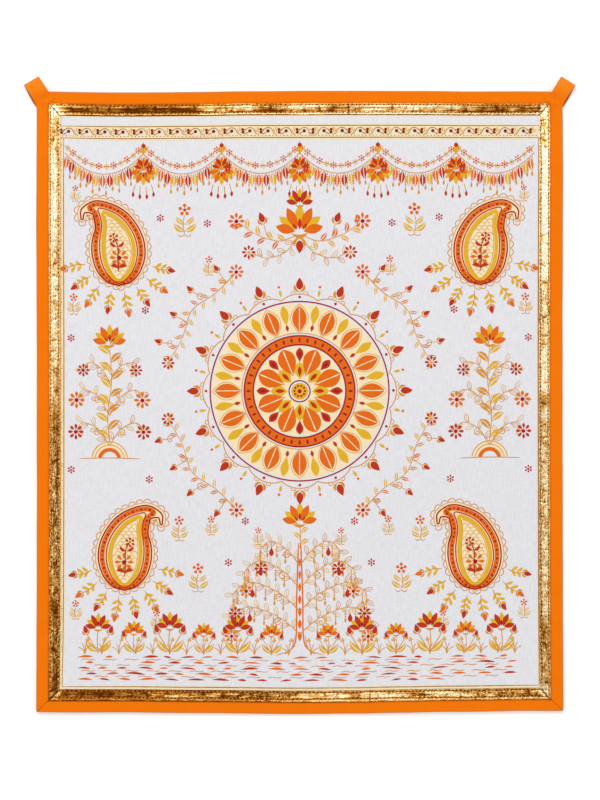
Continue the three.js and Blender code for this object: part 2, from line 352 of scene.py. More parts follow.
class Value:
    """A number that varies over a surface. Sums written with it become Math nodes."""

    def __init__(self, nodes, socket):
        self.nodes, self.socket = nodes, socket

    def math(self, operation, *terms):
        inputs = dict(enumerate(terms))
        return self.nodes.node("ShaderNodeMath", {"operation": operation}, inputs)

    def __add__(self, other):
        return self.math("ADD", self, other)

    def __sub__(self, other):
        return self.math("SUBTRACT", self, other)

    def __rsub__(self, other):
        return self.math("SUBTRACT", other, self)

    def __mul__(self, other):
        return self.math("MULTIPLY", self, other)

    def __truediv__(self, other):
        return self.math("DIVIDE", self, other)

    def __pow__(self, other):
        return self.math("POWER", self, other)

    __radd__ = __add__
    __rmul__ = __mul__

    def sine(self):
        return self.math("SINE", self)

    def size(self):
        return self.math("ABSOLUTE", self)

    def fraction(self):
        return self.math("FRACT", self)

    def greatest(self, other):
        return self.math("MAXIMUM", self, other)

    def least(self, other):
        return self.math("MINIMUM", self, other)

    def step(self, low, high):
        """0 below low, 1 above high, and an S-curve between them."""
        ranged = {"interpolation_type": "SMOOTHSTEP"}
        inputs = {"Value": self, "From Min": low, "From Max": high}
        return self.nodes.node("ShaderNodeMapRange", ranged, inputs)


class Nodes:
    """The nodes of a material or of the world."""

    def __init__(self, tree):
        self.tree = tree

    def join(self, socket, value):
        """Links a socket to a value, or sets it."""
        if isinstance(value, Value):
            self.tree.links.new(value.socket, socket)
        elif isinstance(value, bpy.types.NodeSocket):
            self.tree.links.new(value, socket)
        else:
            socket.default_value = value

    def node(self, kind, settings, inputs, output=0):
        """Adds a node: its settings first, among them a ramp's stops, then its inputs.
        With no output named it gives all of them."""
        made = self.tree.nodes.new(kind)
        for name, setting in settings.items():
            if name == "stops":
                self.set_stops(made.color_ramp, setting)
            else:
                setattr(made, name, setting)
        for name, value in inputs.items():
            self.join(made.inputs[name], value)
        if output is None:
            return [self.found(socket) for socket in made.outputs]
        return self.found(made.outputs[output])

    def found(self, socket):
        return Value(self, socket) if socket.type == "VALUE" else socket

    @staticmethod
    def set_stops(ramp, stops):
        while len(ramp.elements) < len(stops):
            ramp.elements.new(1)
        for element, (position, colour) in zip(ramp.elements, stops):
            element.position = position
            element.color = (*colour, 1)

    def mix(self, share, first, second, blend="MIX"):
        """Mixes two colours."""
        settings = {"data_type": "RGBA", "blend_type": blend}
        inputs = {0: share, 6: first, 7: second}
        return self.node("ShaderNodeMix", settings, inputs, 2)

    def ramp(self, share, stops):
        return self.node("ShaderNodeValToRGB", {"stops": stops}, {"Fac": share})


class Finish(Nodes):
    """One material and the nodes that make it."""

    def __init__(self, name, **constants):
        self.material = bpy.data.materials.new(name)
        self.material.use_nodes = True
        super().__init__(self.material.node_tree)
        self.surface = self.tree.nodes["Principled BSDF"]
        self.set(**{key.replace("_", " "): value for key, value in constants.items()})

    def set(self, **inputs):
        """Sets or links the surface shader's own sockets."""
        for name, value in inputs.items():
            self.join(self.surface.inputs[name], value)

    def value(self, name):
        """The piece's own named value."""
        return self.node("ShaderNodeAttribute", {"attribute_name": name}, {}, "Fac")

    def axes(self):
        """The object coordinates as three values, in millimetres."""
        places = self.node("ShaderNodeTexCoord", {}, {}, "Object")
        scaled = self.node("ShaderNodeVectorMath", {"operation": "SCALE"}, {0: places, "Scale": 1 / MM})
        return self.node("ShaderNodeSeparateXYZ", {}, {0: scaled}, None)

    def grain(self, x, y, z, detail=2.0, roughness=0.5):
        """Cloudy noise from 0 to 1 with one lump per unit of x, y and z."""
        place = self.node("ShaderNodeCombineXYZ", {}, {0: x, 1: y, 2: z})
        inputs = {"Vector": place, "Scale": 1.0, "Detail": detail, "Roughness": roughness}
        return self.node("ShaderNodeTexNoise", {}, inputs, "Fac")

    def bump(self, height, distance):
        """Relief that stands up by that distance, in millimetres, where height is 1."""
        inputs = {"Strength": 1.0, "Distance": distance * MM, "Height": height}
        return self.node("ShaderNodeBump", {}, inputs)


def colour(rgb):
    """A colour with full alpha."""
    return (*rgb, 1.0)


def darker(rgb, share):
    """A colour with that share of its light."""
    return tuple(share * channel for channel in rgb)


# ---- materials

TAPE_THREAD = 0.42       # from one thread of the orange cotton's weave to the next


def threads(finish, pitch):
    """Plain weave: how high the cloth's face stands, 0 to 1, with two sets of uneven
    threads that pass over and under each other, and slubs along them."""
    x, _, z = finish.axes()
    drift_x = finish.grain(x * 0.06, 0.0, z * 0.3) * 0.9
    drift_z = finish.grain(x * 0.3, 5.0, z * 0.06) * 0.9
    across, down = (x / pitch + drift_x) * np.pi, (z / pitch + drift_z) * np.pi
    over = across.sine() * down.sine() * 0.5 + 0.5
    slub_x = finish.grain(x * 0.035, 2.0, z * 1.9, 3.0, 0.7)
    slub_z = finish.grain(x * 1.9, 7.0, z * 0.035, 3.0, 0.7)
    return over, slub_x, slub_z


def cotton_finish(settings):
    """Bleached plain-weave cotton with slubs and a faint unevenness."""
    finish = Finish("woven_cotton", Roughness=0.92, Specular_IOR_Level=0.12)
    over, slub_x, slub_z = threads(finish, settings.thread / MM)
    x, _, z = finish.axes()
    coarse_x = finish.grain(x * 0.11, 8.0, z * 0.85, 1.0).step(0.30, 0.62)
    coarse_z = finish.grain(x * 0.85, 9.0, z * 0.09, 1.0).step(0.32, 0.66)
    slubs = (slub_x + slub_z) * 0.15 + coarse_x * 0.28 + coarse_z * 0.42
    cloudy = finish.grain(x * 0.02, 1.0, z * 0.02)
    # The weave's low crossings are a little darker: painted shade in the weave.
    shade = slubs * 0.8 + cloudy * 0.16 + over * 0.04
    base = finish.ramp(shade, ((0.1, darker(settings.colour, 0.87)), (0.72, settings.colour)))
    finish.set(**{"Base Color": base, "Normal": finish.bump(over * 0.3 + slubs, 0.05)})
    return finish.material


def ink_finish(ink, settings):
    """Block-printed ink soaked into the weave: thinner on the thread crossings that
    stand lowest, with small starved specks."""
    finish = Finish(f"ink_{ink}", Roughness=0.85, Specular_IOR_Level=0.15)
    over, _, slub_z = threads(finish, settings.thread / MM)
    x, _, z = finish.axes()
    specks = finish.grain(x * 1.1, 3.0, z * 1.1, 2.0, 0.6).step(0.66, 0.80)
    uneven = finish.grain(x * 0.15, 4.0, z * 0.15)
    starved = specks * 0.17 + (1 - over) * 0.015
    tint = getattr(settings, ink)
    inked = finish.mix(uneven, colour(tint), colour(darker(tint, 0.84)))
    base = finish.mix(starved, inked, colour(settings.colour))
    finish.set(**{"Base Color": base, "Normal": finish.bump(over * 0.5 + slub_z * 0.6, 0.04)})
    return finish.material


def tape_finish(settings):
    """Orange cotton, its weave close and flat, with painted shade in khaki along its rounded
    folds and painted shade in its seams and furrows, and paler where painted highlights
    fall on the puckers' ridges and towards the loops' tips."""
    finish = Finish("orange_tape", Roughness=0.9, Specular_IOR_Level=0.06)
    over, slub_x, slub_z = threads(finish, TAPE_THREAD)
    x, y, z = finish.axes()
    cloudy = finish.grain(x * 0.07, y * 0.07, z * 0.07, 3.0)
    # The weave's low crossings are a little darker: painted shade in the weave.
    shade = slub_x * 0.25 + slub_z * 0.25 + cloudy * 0.35 + over * 0.15
    red, green, blue = settings.colour
    woven = finish.ramp(shade, ((0.3, (0.93 * red, 0.86 * green, 0.8 * blue)), (0.66, settings.colour)))
    # Paler where a painted highlight lies on the puckers' ridges, and towards the loops' tips.
    worn = finish.mix(finish.value("worn"), woven, colour(settings.worn))
    # Painted shade in khaki along the rounded folds.
    folded = finish.mix(finish.value("fold"), worn, colour(settings.fold))
    # Painted shade: the ribbon's shadow on the tape, the mitres, the puckers' furrows and the loops' hidden
    # layer.
    base = finish.mix(finish.value("rim"), folded, colour(settings.rim))
    finish.set(**{"Base Color": base, "Normal": finish.bump(over * 0.6 + slub_x * 0.5, 0.045)})
    return finish.material


def foil_finish(settings):
    """Gold foil on ribbon: its tone, from deep brown (0) to pale gold (1), is painted
    reflection and shade that goes with the ribbon's crumples, with small dented spots and
    with streaks along it; it is pricked between the stitches of both rows, with painted
    shade in the pricks. Where it is crumpled it has a painted reflection of itself, which
    deepens its colour, and its outer edge a painted reflection of the orange cotton."""
    finish = Finish("gold_foil", Metallic=1.0)
    tone, along, over = (finish.value(key) for key in ("tone", "along", "over"))
    from_row = finish.value("from_outer_row").size().least(finish.value("from_inner_row").size())
    fine = finish.grain(along * 0.5, over * 0.8, 0.0).step(0.32, 0.68) - 0.5
    coarse = finish.grain(along * 0.11, over * 0.62, 4.0).step(0.30, 0.70) - 0.5
    in_step = (finish.value("stitch").fraction() - 0.5).size()
    # Painted shade in the pricks between the stitches.
    hole = (1 - from_row.step(0.35, 0.8)) * in_step.step(0.29, 0.37)
    # Painted reflection of the crumpled, dented foil.
    dent_reflection = (fine * 0.34 + coarse * 0.26) * (finish.value("rough") ** 2 * 2.7 + 0.10)
    share = tone + dent_reflection - hole * 0.38
    base = finish.ramp(share, (
        (0.17, settings.dark), (0.32, settings.brown), (0.50, settings.bronze), (0.69, settings.gold),
        (0.95, settings.pale),
    ))
    deeper = finish.mix(finish.value("rough"), base, colour(settings.crumpled), "MULTIPLY")
    height = fine * 0.5 + coarse * 0.8 - hole * 0.6
    mirrored = 1 - over.step(0.2, 1.3)
    finish.set(**{
        "Base Color": finish.mix(mirrored, deeper, colour(settings.near_tape), "MULTIPLY"),
        "Roughness": 0.44 - tone * 0.16 + fine * 0.1,
        "Normal": finish.bump(height, 0.25),
    })
    return finish.material


def thread_finish(settings):
    """Twisted sewing thread, golden brown, with painted shade in the grooves of its twist."""
    finish = Finish("sewing_thread", Roughness=0.6, Specular_IOR_Level=0.3)
    along = finish.value("along")
    x, _, z = finish.axes()
    twist = ((along * 2.4 + (x + z) * 1.1) * 2 * np.pi).sine() * 0.5 + 0.5
    # Painted shade: darker in the grooves of the twist.
    dark = darker(settings.thread_colour, 0.6)
    base = finish.mix(twist, colour(dark), colour(settings.thread_colour))
    finish.set(**{"Base Color": base, "Normal": finish.bump(twist, 0.05)})
    return finish.material


# ---- the panel


def panel(settings, material):
    """The cotton panel: a thin closed sheet between two grids that hang as the cloth
    does, its edges hidden in the binding."""
    x = np.linspace(PANEL_INSET, WIDTH - PANEL_INSET, settings.columns + 1) - WIDTH / 2
    z = -np.linspace(PANEL_INSET, HEIGHT - PANEL_INSET, settings.rows + 1)[:, None]
    work = Work()
    work.add_sheet(hang(x, z, PANEL_FACE), hang(x, z, PANEL_FACE - settings.thickness / MM))
    piece = work.make("panel_cloth", material)
    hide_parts("panel")
    return piece


# ---- the print

# Drawings are made of strokes. A stroke has an ink, a path of complex numbers (x, and
# z as the imaginary part) and half of its width at each point of the path.
Stroke = namedtuple("Stroke", "ink path half")
INKS = ("cream", "yellow", "orange", "gold", "red", "brown", "crimson", "maroon")
CREAM, YELLOW, ORANGE, GOLD, RED, BROWN, CRIMSON, MAROON = INKS

# How far some of the inks' blocks lie out of place.
MISPLACED = {YELLOW: 0.25 - 0.1j, ORANGE: -0.1 + 0.15j, RED: 0.15 + 0.1j, CRIMSON: -0.1j}

LINE = 0.85              # width of a drawn line
LINE_STEP = 1.7          # distance between the points of a line
PETAL_STEPS = 11         # points along a petal
SLIMMEST = 0.11          # half-width of the finest point that the block prints
VEIN = 0.9               # width of the bare vein left in a leaf
LEAF_ANGLE = 52          # between a stem and its leaves
TENDRIL = 0.75           # width of a tendril

FIRST_LAYER = 0.05       # lowest ink above the cloth
LAYER = 0.028            # and from one ink to the next
STROKE_LIFT = 0.0012     # and from one stroke to the next that may cross it
STROKE_LEVELS = 20       # after which the strokes start again at their ink's own level
RAGGED = 0.09            # how uneven a stroke's edge is

FRAME_LEFT, FRAME_RIGHT, FRAME_BOTTOM = -250.6, 253.7, -632.6
BAND_TOP, BAND_BOTTOM = -36.5, -49.2


def polar(radius, angle):
    """The point at that radius and angle in degrees, anticlockwise from the right."""
    return radius * np.exp(1j * np.radians(angle))


def lengths(path):
    """How far each point of a path lies from its first, measured along the path."""
    return np.concatenate([[0], np.cumsum(np.abs(np.diff(path)))])


def sideways(path, closed=False):
    """The direction to the left of a path at each of its points. A closed path has the
    same one at both ends."""
    heading = np.gradient(path)
    if closed:
        heading[0] = heading[-1] = (path[1] - path[-2]) / 2
    return 1j * heading / np.abs(heading)


def smooth(points, step=LINE_STEP):
    """A soft curve through the points, as even steps along a Catmull-Rom curve."""
    points = np.asarray(points, complex)
    ends = 2 * points[[0, -1]] - points[[1, -2]]
    knots = np.concatenate([ends[:1], points, ends[1:]])
    at = np.linspace(0, len(points) - 1, 24 * len(points))
    piece = np.minimum(at.astype(int), len(points) - 2)
    t = at - piece
    a, b, c, d = (knots[piece + k] for k in range(4))
    curve = (
        2 * b + (c - a) * t + (2 * a - 5 * b + 4 * c - d) * t**2 + (3 * b - 3 * c + d - a) * t**3
    ) / 2
    return even(curve, step)


def even(curve, step):
    """The same curve with its points at even steps."""
    length = lengths(curve)
    places = np.linspace(0, length[-1], max(4, round(length[-1] / step) + 1))
    return np.interp(places, length, curve)


def line(ink, points, width=LINE):
    """A line through the points, its ends a little narrower."""
    path = smooth(points)
    share = np.linspace(-1, 1, len(path))
    return [Stroke(ink, path, width / 2 * (1 - 0.55 * share**8))]


def loop_line(ink, path, width):
    """A closed line."""
    closed = even(np.append(path, path[0]), LINE_STEP)
    return [Stroke(ink, closed, np.full(len(closed), width / 2))]


def arc(ink, centre, radius, start, end, width):
    """Part of a circle from one angle to another, in degrees."""
    count = max(5, round(abs(math.radians(end - start)) * radius / LINE_STEP) + 1)
    path = centre + polar(radius, np.linspace(start, end, count))
    return [Stroke(ink, path, np.full(count, width / 2))]


def ring(ink, radius, width=LINE):
    """A circle round the middle."""
    return arc(ink, 0, radius, 0, 360, width)


def dot(ink, centre, radius):
    """A disc, as a short stroke whose half-width is the circle's own."""
    share = np.sin(np.linspace(-np.pi / 2, np.pi / 2, 8)) * 0.995
    half = radius * np.sqrt(1 - share**2)
    return [Stroke(ink, centre + radius * share, np.maximum(half, SLIMMEST))]


def petal(ink, base, tip, width, bow=0.0, widest=0.55):
    """A pointed petal: its half-width is a sine hump whose top lies at widest, and its
    spine bows sideways by that share of its length."""
    share = np.linspace(0, 1, PETAL_STEPS)
    half = width / 2 * np.sin(np.pi * share ** (math.log(0.5) / math.log(widest))) ** 0.85
    spine = base + (tip - base) * (share + 1j * bow * np.sin(np.pi * share))
    return [Stroke(ink, spine, np.maximum(half, SLIMMEST))]


def leaf(ink, base, tip, width, bow=0.0, widest=0.5):
    """A petal in two halves with a bare vein between them."""
    whole = petal(ink, base, tip, width, bow, widest)[0]
    half = np.maximum((whole.half - VEIN / 2) / 2, SLIMMEST)
    shift = sideways(whole.path) * (VEIN / 2 * np.minimum(1, whole.half / VEIN) + half)
    return [Stroke(ink, whole.path + sign * shift, half) for sign in (-1, 1)]


def outline(stroke):
    """The closed outline of a stroke: up its right side and back down its left."""
    side = sideways(stroke.path) * stroke.half
    return np.concatenate([stroke.path - side, (stroke.path + side)[::-1]])


def drawn_leaf(ink, base, tip, width, bow):
    """A leaf in drawn line, with its vein."""
    whole = petal(ink, base, tip, width, bow)[0]
    vein = Stroke(ink, whole.path[1:-3], np.full(PETAL_STEPS - 4, 0.26))
    return loop_line(ink, outline(whole), 0.6) + [vein]


def beads(top, length):
    """A string of beads that hangs from a point: a fine line with round beads along it
    and a drop at its end."""
    end = top - 1j * length
    strokes = line(GOLD, [top, lerp(top, end, 0.5), end], 0.5)
    for place in np.arange(3.0, length - 6, 2.8):
        strokes += dot(GOLD, top - 1j * place, 0.8)
    return strokes + petal(GOLD, end + 6j, end, 2.3, widest=0.62)


def scales(spine, half, margin):
    """Rows of small arches, like a fish's scales, that lie inside an outline by at
    least a margin."""
    strokes = []
    for row, z in enumerate(np.arange(-60, 60, 3.6)):
        for x in np.arange(-42, 50, 5.8) + 2.9 * (row % 2):
            if (np.abs(x + 1j * z - spine) < half - margin).any():
                strokes += arc(GOLD, x + 1j * z, 2.9, 8, 172, 0.6)
    return strokes


def scallops(path, pitch, height, width):
    """A closed row of small arches that stand out from a closed outline, each the upper
    half of a sine wave."""
    closed = even(np.append(path, path[0]), 0.9)
    count = max(3, round(lengths(closed)[-1] / pitch))
    share = np.linspace(0, 1, len(closed))
    lift = height * np.abs(np.sin(np.pi * count * share)) ** 0.7
    return [Stroke(GOLD, closed - sideways(closed) * lift, np.full(len(closed), width / 2))]


def along_path(path, pitch, start):
    """Places at an even pitch along a path, each with the path's heading there."""
    length = lengths(path)
    places = np.arange(start, length[-1], pitch)
    headings = np.interp(places, length, np.gradient(path))
    return list(zip(np.interp(places, length, path), headings / np.abs(headings)))


def placed(strokes, at=0, turn=0, size=1.0, flip=False):
    """The strokes flipped left to right, made that size, turned and moved."""
    moved = []
    for stroke in strokes:
        path = -np.conj(stroke.path) if flip else stroke.path
        moved.append(Stroke(stroke.ink, at + polar(size, turn) * path, stroke.half * size))
    return moved


def around(count, strokes, start=0):
    """Copies of the strokes, turned evenly about the middle."""
    copies = []
    for turn in np.arange(count) * 360 / count + start:
        copies += placed(strokes, turn=turn)
    return copies


def both_sides(strokes):
    """The strokes and their mirror image."""
    return strokes + placed(strokes, flip=True)


def blossom(radius, petals, ink, heart=RED):
    """A round flower seen from above."""
    one = petal(ink, 0.3 * radius, radius, 0.85 * radius * 3.4 / petals, widest=0.6)
    return around(petals, one, 90) + dot(heart, 0, 0.24 * radius)


def lotus(size, outer=ORANGE, inner=YELLOW, heart=RED):
    """A lotus seen from the side: a fan of petals on a short curved base."""
    strokes = []
    for angle, length, ink in (
        (0, 1.0, inner), (27, 0.97, outer), (-27, 0.97, outer), (52, 0.92, inner), (-52, 0.92, inner),
        (76, 0.86, outer), (-76, 0.86, outer),
    ):
        base = polar(0.16 * size, 90 + angle)
        strokes += petal(ink, base, polar(size * length, 90 + angle), 0.33 * size, widest=0.52)
    strokes += petal(heart, 0.1j * size, 0.5j * size, 0.14 * size)
    for angle in (-40, 40):
        strokes += petal(heart, polar(0.14 * size, 90 + angle), polar(0.42 * size, 90 + angle), 0.1 * size)
    strokes += petal(GOLD, -0.3 * size - 0.02j * size, 0.3 * size - 0.02j * size, 0.13 * size, bow=-0.2)
    return strokes


def bud(size, ink=RED):
    """A closed bud on a cup of two small leaves, pointing up."""
    strokes = petal(ink, 0.15j * size, 1j * size, 0.5 * size, widest=0.4)
    for side in (-1, 1):
        strokes += petal(GOLD, 0, (side * 0.34 + 0.52j) * size, 0.2 * size, bow=-0.22 * side)
    return strokes


def sprig(size):
    """A small upright twig with two pairs of leaves under a blossom."""
    strokes = line(GOLD, [0, (0.05 + 0.35j) * size, 0.62j * size])
    for side in (-1, 1):
        for root, tip, width in ((0.12j, side * 0.34 + 0.36j, 0.17), (0.34j, side * 0.27 + 0.58j, 0.14)):
            strokes += leaf(YELLOW, root * size, tip * size, width * size, bow=-0.12 * side)
        strokes += line(GOLD, [0, (side * 0.13 - 0.05j) * size, (side * 0.2 + 0.02j) * size])
    return strokes + placed(blossom(0.2 * size, 5, ORANGE), 0.78j * size)


def leafy(points, length, pitch, inks=(YELLOW,), *, start, width=0.42, shape=leaf):
    """A curved stem with leaves set on it by turns, left and right."""
    path = smooth(points)
    strokes = [Stroke(GOLD, path, np.linspace(1.15, 0.75, len(path)) * LINE / 2)]
    for index, (place, heading) in enumerate(along_path(path, pitch, start)):
        side = 1 if index % 2 else -1
        base, tip = (place + heading * polar(reach, side * LEAF_ANGLE) for reach in (1.0, length))
        strokes += shape(inks[index % len(inks)], base, tip, width * length, bow=-0.1 * side)
    return strokes


def tendril(start, heading, radius, turns, side):
    """A line that leaves start along heading, winds inwards and ends in a dot."""
    share = np.linspace(0, 1, 40)
    angle = side * 2 * np.pi * turns * share
    steps = polar(1, heading) * np.exp(1j * angle) * (1 - 0.86 * share) * radius * 2 * np.pi * turns / 40
    path = even(start + np.concatenate([[0], np.cumsum(steps)]), 1.1)
    half = TENDRIL / 2 * np.linspace(1.1, 0.8, len(path))
    return [Stroke(GOLD, path, half)] + dot(GOLD, path[-1], 0.75 * TENDRIL)


def vine_band():
    """The narrow printed band under the top ribbon: a running vine between two lines on
    a cream ground, with a pair of berries at each joint, a larger berry under each arch,
    and a row of short dashes. The ground is bare under the arches. The right half
    mirrors the left."""
    repeat, middle = 19.25, 5.8
    top, low = BAND_TOP, BAND_BOTTOM
    motif = []               # drawn with the band's top line at a height of 0
    for ink, centre, radius in (
        (MAROON, 0.2 - 4.2j, 1.3), (MAROON, 0.4 - 7.2j, 1.3), (RED, 0.2 - 4.2j, 1.6), (RED, 0.4 - 7.2j, 1.6),
        (GOLD, 0.9 - 5.7j, 0.9), (RED, 7.8 - 5.8j, 1.85), (MAROON, 8 - 5.4j, 1.45), (BROWN, 5 - 7.6j, 0.6),
    ):
        motif += dot(ink, centre, radius)
    for ink, start, end, width in (
        (ORANGE, 1.6 - 5.0j, 4.2 - 3.6j, 1.0), (GOLD, 1.6 - 8.0j, 4.4 - 9.3j, 1.2),
        (GOLD, -2.0 - 7.6j, -3.2 - 2.2j, 0.9), (GOLD, -3.6 - 7.8j, -5.4 - 3.0j, 0.9),
        (GOLD, -1.0 - 3.4j, -3.4 - 1.8j, 0.9), (CREAM, 8.0 - 7.2j, -8.6 - 7.2j, 5.4),
        (CREAM, 10.4 - 7.2j, 17.0 - 7.2j, 5.4),
    ):
        motif += petal(ink, start, end, width)
    motif += line(BROWN, [1.2 - 8j, 3.4 - 4.4j, 7.2 - 2.2j, 11 - 2.9j, 13 - 5.6j, 14.6 - 8.6j, 18.2 - 9.2j])
    motif += line(BROWN, [1.8 - 8.4j, 4.6 - 7.9j, 6.8 - 6.6j], 0.75)
    for step in range(5):
        start = (step + 0.2) * repeat / 5 + 1j * (low + 2.2 - top)
        motif += petal(BROWN, start, start + 2.0, 0.9)
    lefts, rights = [], []
    for step in range(14):
        lefts += placed(motif, middle - 8.9 - step * repeat + 1j * top)
        rights += placed(motif, middle + 8.6 + step * repeat + 1j * top, flip=True)
    left, right = FRAME_LEFT - 4.0, FRAME_RIGHT + 1.4
    strokes = [s for s in lefts if s.path.real.min() > left]
    strokes += [s for s in rights if middle + 3 < s.path.real.min() and s.path.real.max() < right]
    for ink, z, width in (
        (BROWN, top, 1.0), (BROWN, low, 1.05), (CREAM, top - 1.8, 8.0), (CREAM, low + 0.8, 6.0),
    ):
        strokes += line(ink, [left + 1j * z, right + 1j * z], width)
    return strokes + line(CREAM, [right - 7 + 1j * (top - 7.2), right + 1j * (top - 7.2)], 4.4)


def frame_line():
    """The line round the field, and the pale dotted strip between it and the ribbon,
    of which only the innermost millimetre shows at the top and on the right."""
    left, right, low, top = FRAME_LEFT, FRAME_RIGHT, FRAME_BOTTOM * 1j, BAND_BOTTOM * 1j
    strokes = line(BROWN, [left + top, left - 300j, left - 0.4 - 540j, left - 1.2 + low], 0.95)
    strokes += line(GOLD, [left - 3.4 + top, left - 3.5 - 300j, left - 3.9 + low], 0.55)
    strokes += line(BROWN, [right + top, right + low], 1.1)
    strokes += line(BROWN, [left - 1.2 + low, right + low], 1.0)
    strokes += line(CREAM, [left - 2.6 + top, left - 2.6 + low - 4j], 7.6)
    strokes += line(CREAM, [left - 4.2 - 26j, left - 4.2 + top], 4.4)
    strokes += line(CREAM, [left - 1.2 - 25.9j, right + 0.6 - 25.9j], 1.7)
    strokes += line(CREAM, [right - 0.9 + top, right - 0.9 + low], 1.5)
    strokes += line(CREAM, [left - 2 + low - 0.9j, right + low - 0.9j], 4.4)
    random = np.random.default_rng(5)
    for z in np.arange(-26.0, FRAME_BOTTOM, -2.2):
        ink = (BROWN, GOLD)[int(random.uniform(0, 1.6))]
        strokes += dot(ink, left - random.uniform(1.8, 3.6) + 1j * z, random.uniform(0.3, 0.7))
    return strokes


def toran():
    """A garland hung in swags from the band: a string of marigolds over a row of mango
    leaves and beads, with a lotus pendant where two swags meet."""
    swag, sag, top = 83.0, 22.0, BAND_BOTTOM - 4
    x = np.linspace(0, swag, 40)
    fall = 4 * (x / swag) * (1 - x / swag)
    string, hem = (even(x + 1j * (top - drop - sag * fall), LINE_STEP) for drop in (4, 12))
    one = [Stroke(GOLD, path, np.full(len(path), 0.42)) for path in (string, hem)]
    for index, (place, _) in enumerate(along_path(string, 7.8, 3.9)):
        one += placed(blossom(3.9 if index % 2 else 3.1, 6, (YELLOW, ORANGE)[index % 2]), place)
    for index, (place, heading) in enumerate(along_path(hem, 7.2, 3.6)):
        tip = place - 14.5j + 3 * heading.imag
        one += leaf((ORANGE, RED, YELLOW)[index % 3], place - 0.8j, tip, 6.0)
    for index, (place, _) in enumerate(along_path(hem, 7.2, 7.2)):
        one += beads(place, (23, 19)[index % 2])
    pendant = line(GOLD, [0, -14j], 1.0) + dot(RED, -4j, 2.3) + dot(YELLOW, -9j, 3.0)
    pendant += placed(lotus(16), -30j, 180) + placed(lotus(12, RED, YELLOW, GOLD), -28j)
    for angle in (-30, -10, 10, 30):
        start = polar(17, 270 + angle) - 30j
        end = start + polar(9, 270 + angle / 2)
        pendant += line(GOLD, [start, end], 0.8) + petal(RED, end + 1j, end - 5j, 2.8)
    strokes = []
    for index in range(-3, 3):
        strokes += placed(one, index * swag)
    for index in range(-2, 3):
        strokes += placed(pendant, index * swag + 1j * top)
    return strokes


def medallion():
    """A round lotus seen from above, with rings of petals, beads and arches."""
    strokes = dot(YELLOW, 0, 9) + around(10, dot(RED, 5.6, 1.3)) + dot(CRIMSON, 0, 2.2)
    strokes += ring(CRIMSON, 11.2, 1.3) + ring(CREAM, 77, 31) + ring(CREAM, 30, 35)
    strokes += around(8, petal(YELLOW, 13, 31, 13.0)) + around(8, petal(RED, 15.5, 26, 4.2))
    strokes += around(8, leaf(ORANGE, 17, 47, 19.0, widest=0.6), 22.5)
    strokes += around(8, petal(RED, 31, 46, 8.0, widest=0.6)) + around(8, petal(CRIMSON, 35, 43, 2.6))
    strokes += ring(ORANGE, 54, 8.6) + ring(CRIMSON, 49.2, 1.5) + ring(CRIMSON, 58.8, 1.5)
    strokes += around(40, petal(CRIMSON, 51.3, 56.8, 2.4)) + ring(GOLD, 61.4)
    strokes += around(16, leaf(ORANGE, 63, 90, 15.4, widest=0.52))
    strokes += around(16, loop_line(GOLD, outline(petal(GOLD, 61.5, 92.5, 19.0, widest=0.52)[0]), 0.6))
    strokes += around(16, petal(YELLOW, 70, 92, 8.6, widest=0.6), 11.25)
    strokes += around(16, petal(RED, 64, 71, 3.6), 11.25) + ring(CRIMSON, 95, 1.4)
    edge = polar(97, np.linspace(0, 360, 240, endpoint=False) + 11.25)
    strokes += scallops(edge, np.pi * 2 * 97 / 16, 6.0, 1.0)
    strokes += around(16, dot(RED, 99.6, 1.5)) + around(16, placed(bud(15), 105, -90))
    for side in (-1, 1):
        strokes += around(16, tendril(104, side * 30, 3.2, 0.9, side), side * 2.4)
    strokes += around(16, petal(YELLOW, 101.5, 109, 3.2), 11.25) + around(16, dot(ORANGE, 112, 1.4), 11.25)
    return strokes


def mango():
    """A large paisley: a scalloped line round a crimson line, a broad orange band and a
    yellow one, with drawn scales and a flowering stem inside. Its tip leans to the
    right."""
    spine = smooth([-33j, -14j, 1 + 10j, 8 + 33j, 23 + 48j, 37 + 46j, 39 + 37j], 1.6)
    share = np.linspace(0, 1, len(spine))
    belly = np.sqrt(np.clip(1 - (1 - share / 0.33) ** 2, 0, 1))
    tail = (0.5 + 0.5 * np.cos(np.pi * np.clip((share - 0.33) / 0.67, 0, 1))) ** 0.85
    half = np.where(share < 0.33, belly, tail) * 27

    def nested(margin, ink=YELLOW):
        """The mango with a margin taken off all round, or added where it is below 0."""
        kept = half - margin > 0.8
        path, sides = spine[kept], (half - margin)[kept]
        if margin < 0:
            path = np.concatenate([[spine[0] + 1j * margin], path, [spine[-1] + 1j * margin]])
            sides = np.concatenate([[0.4], sides, [0.4]])
        return Stroke(ink, path, sides)

    strokes = scallops(outline(nested(-4.6)), 8.2, 3.4, 0.9) + [nested(-4.2, CREAM)]
    strokes += loop_line(GOLD, outline(nested(-4.2)), 0.75) + loop_line(CRIMSON, outline(nested(-1.2)), 1.5)
    strokes += loop_line(ORANGE, outline(nested(2.9)), 5.0)
    for index, (place, _) in enumerate(along_path(outline(nested(2.9)), 4.6, 1.0)):
        strokes += dot(CRIMSON, place, 1.25 if index % 2 else 0.8)
    strokes += loop_line(RED, outline(nested(7.0)), 1.4) + loop_line(YELLOW, outline(nested(10.6)), 4.0)
    strokes += loop_line(GOLD, outline(nested(13.4)), 0.7) + scales(spine, half, 16.0)
    strokes += line(CRIMSON, [-19j, 1 - 6j, 1 + 8j, 6 + 19j], 1.1)
    strokes += placed(blossom(10.0, 8, ORANGE, CRIMSON), -0.5 - 4j)
    strokes += placed(blossom(5.4, 6, RED, YELLOW), 5.5 + 17j)
    for side in (-1, 1):
        strokes += petal(RED, -16j, side * 9 - 13j, 4.0, bow=0.2 * side)
        strokes += petal(RED, 2 + 8j, side * 7 + 2 + 13j, 3.2, bow=-0.2 * side)
    return strokes


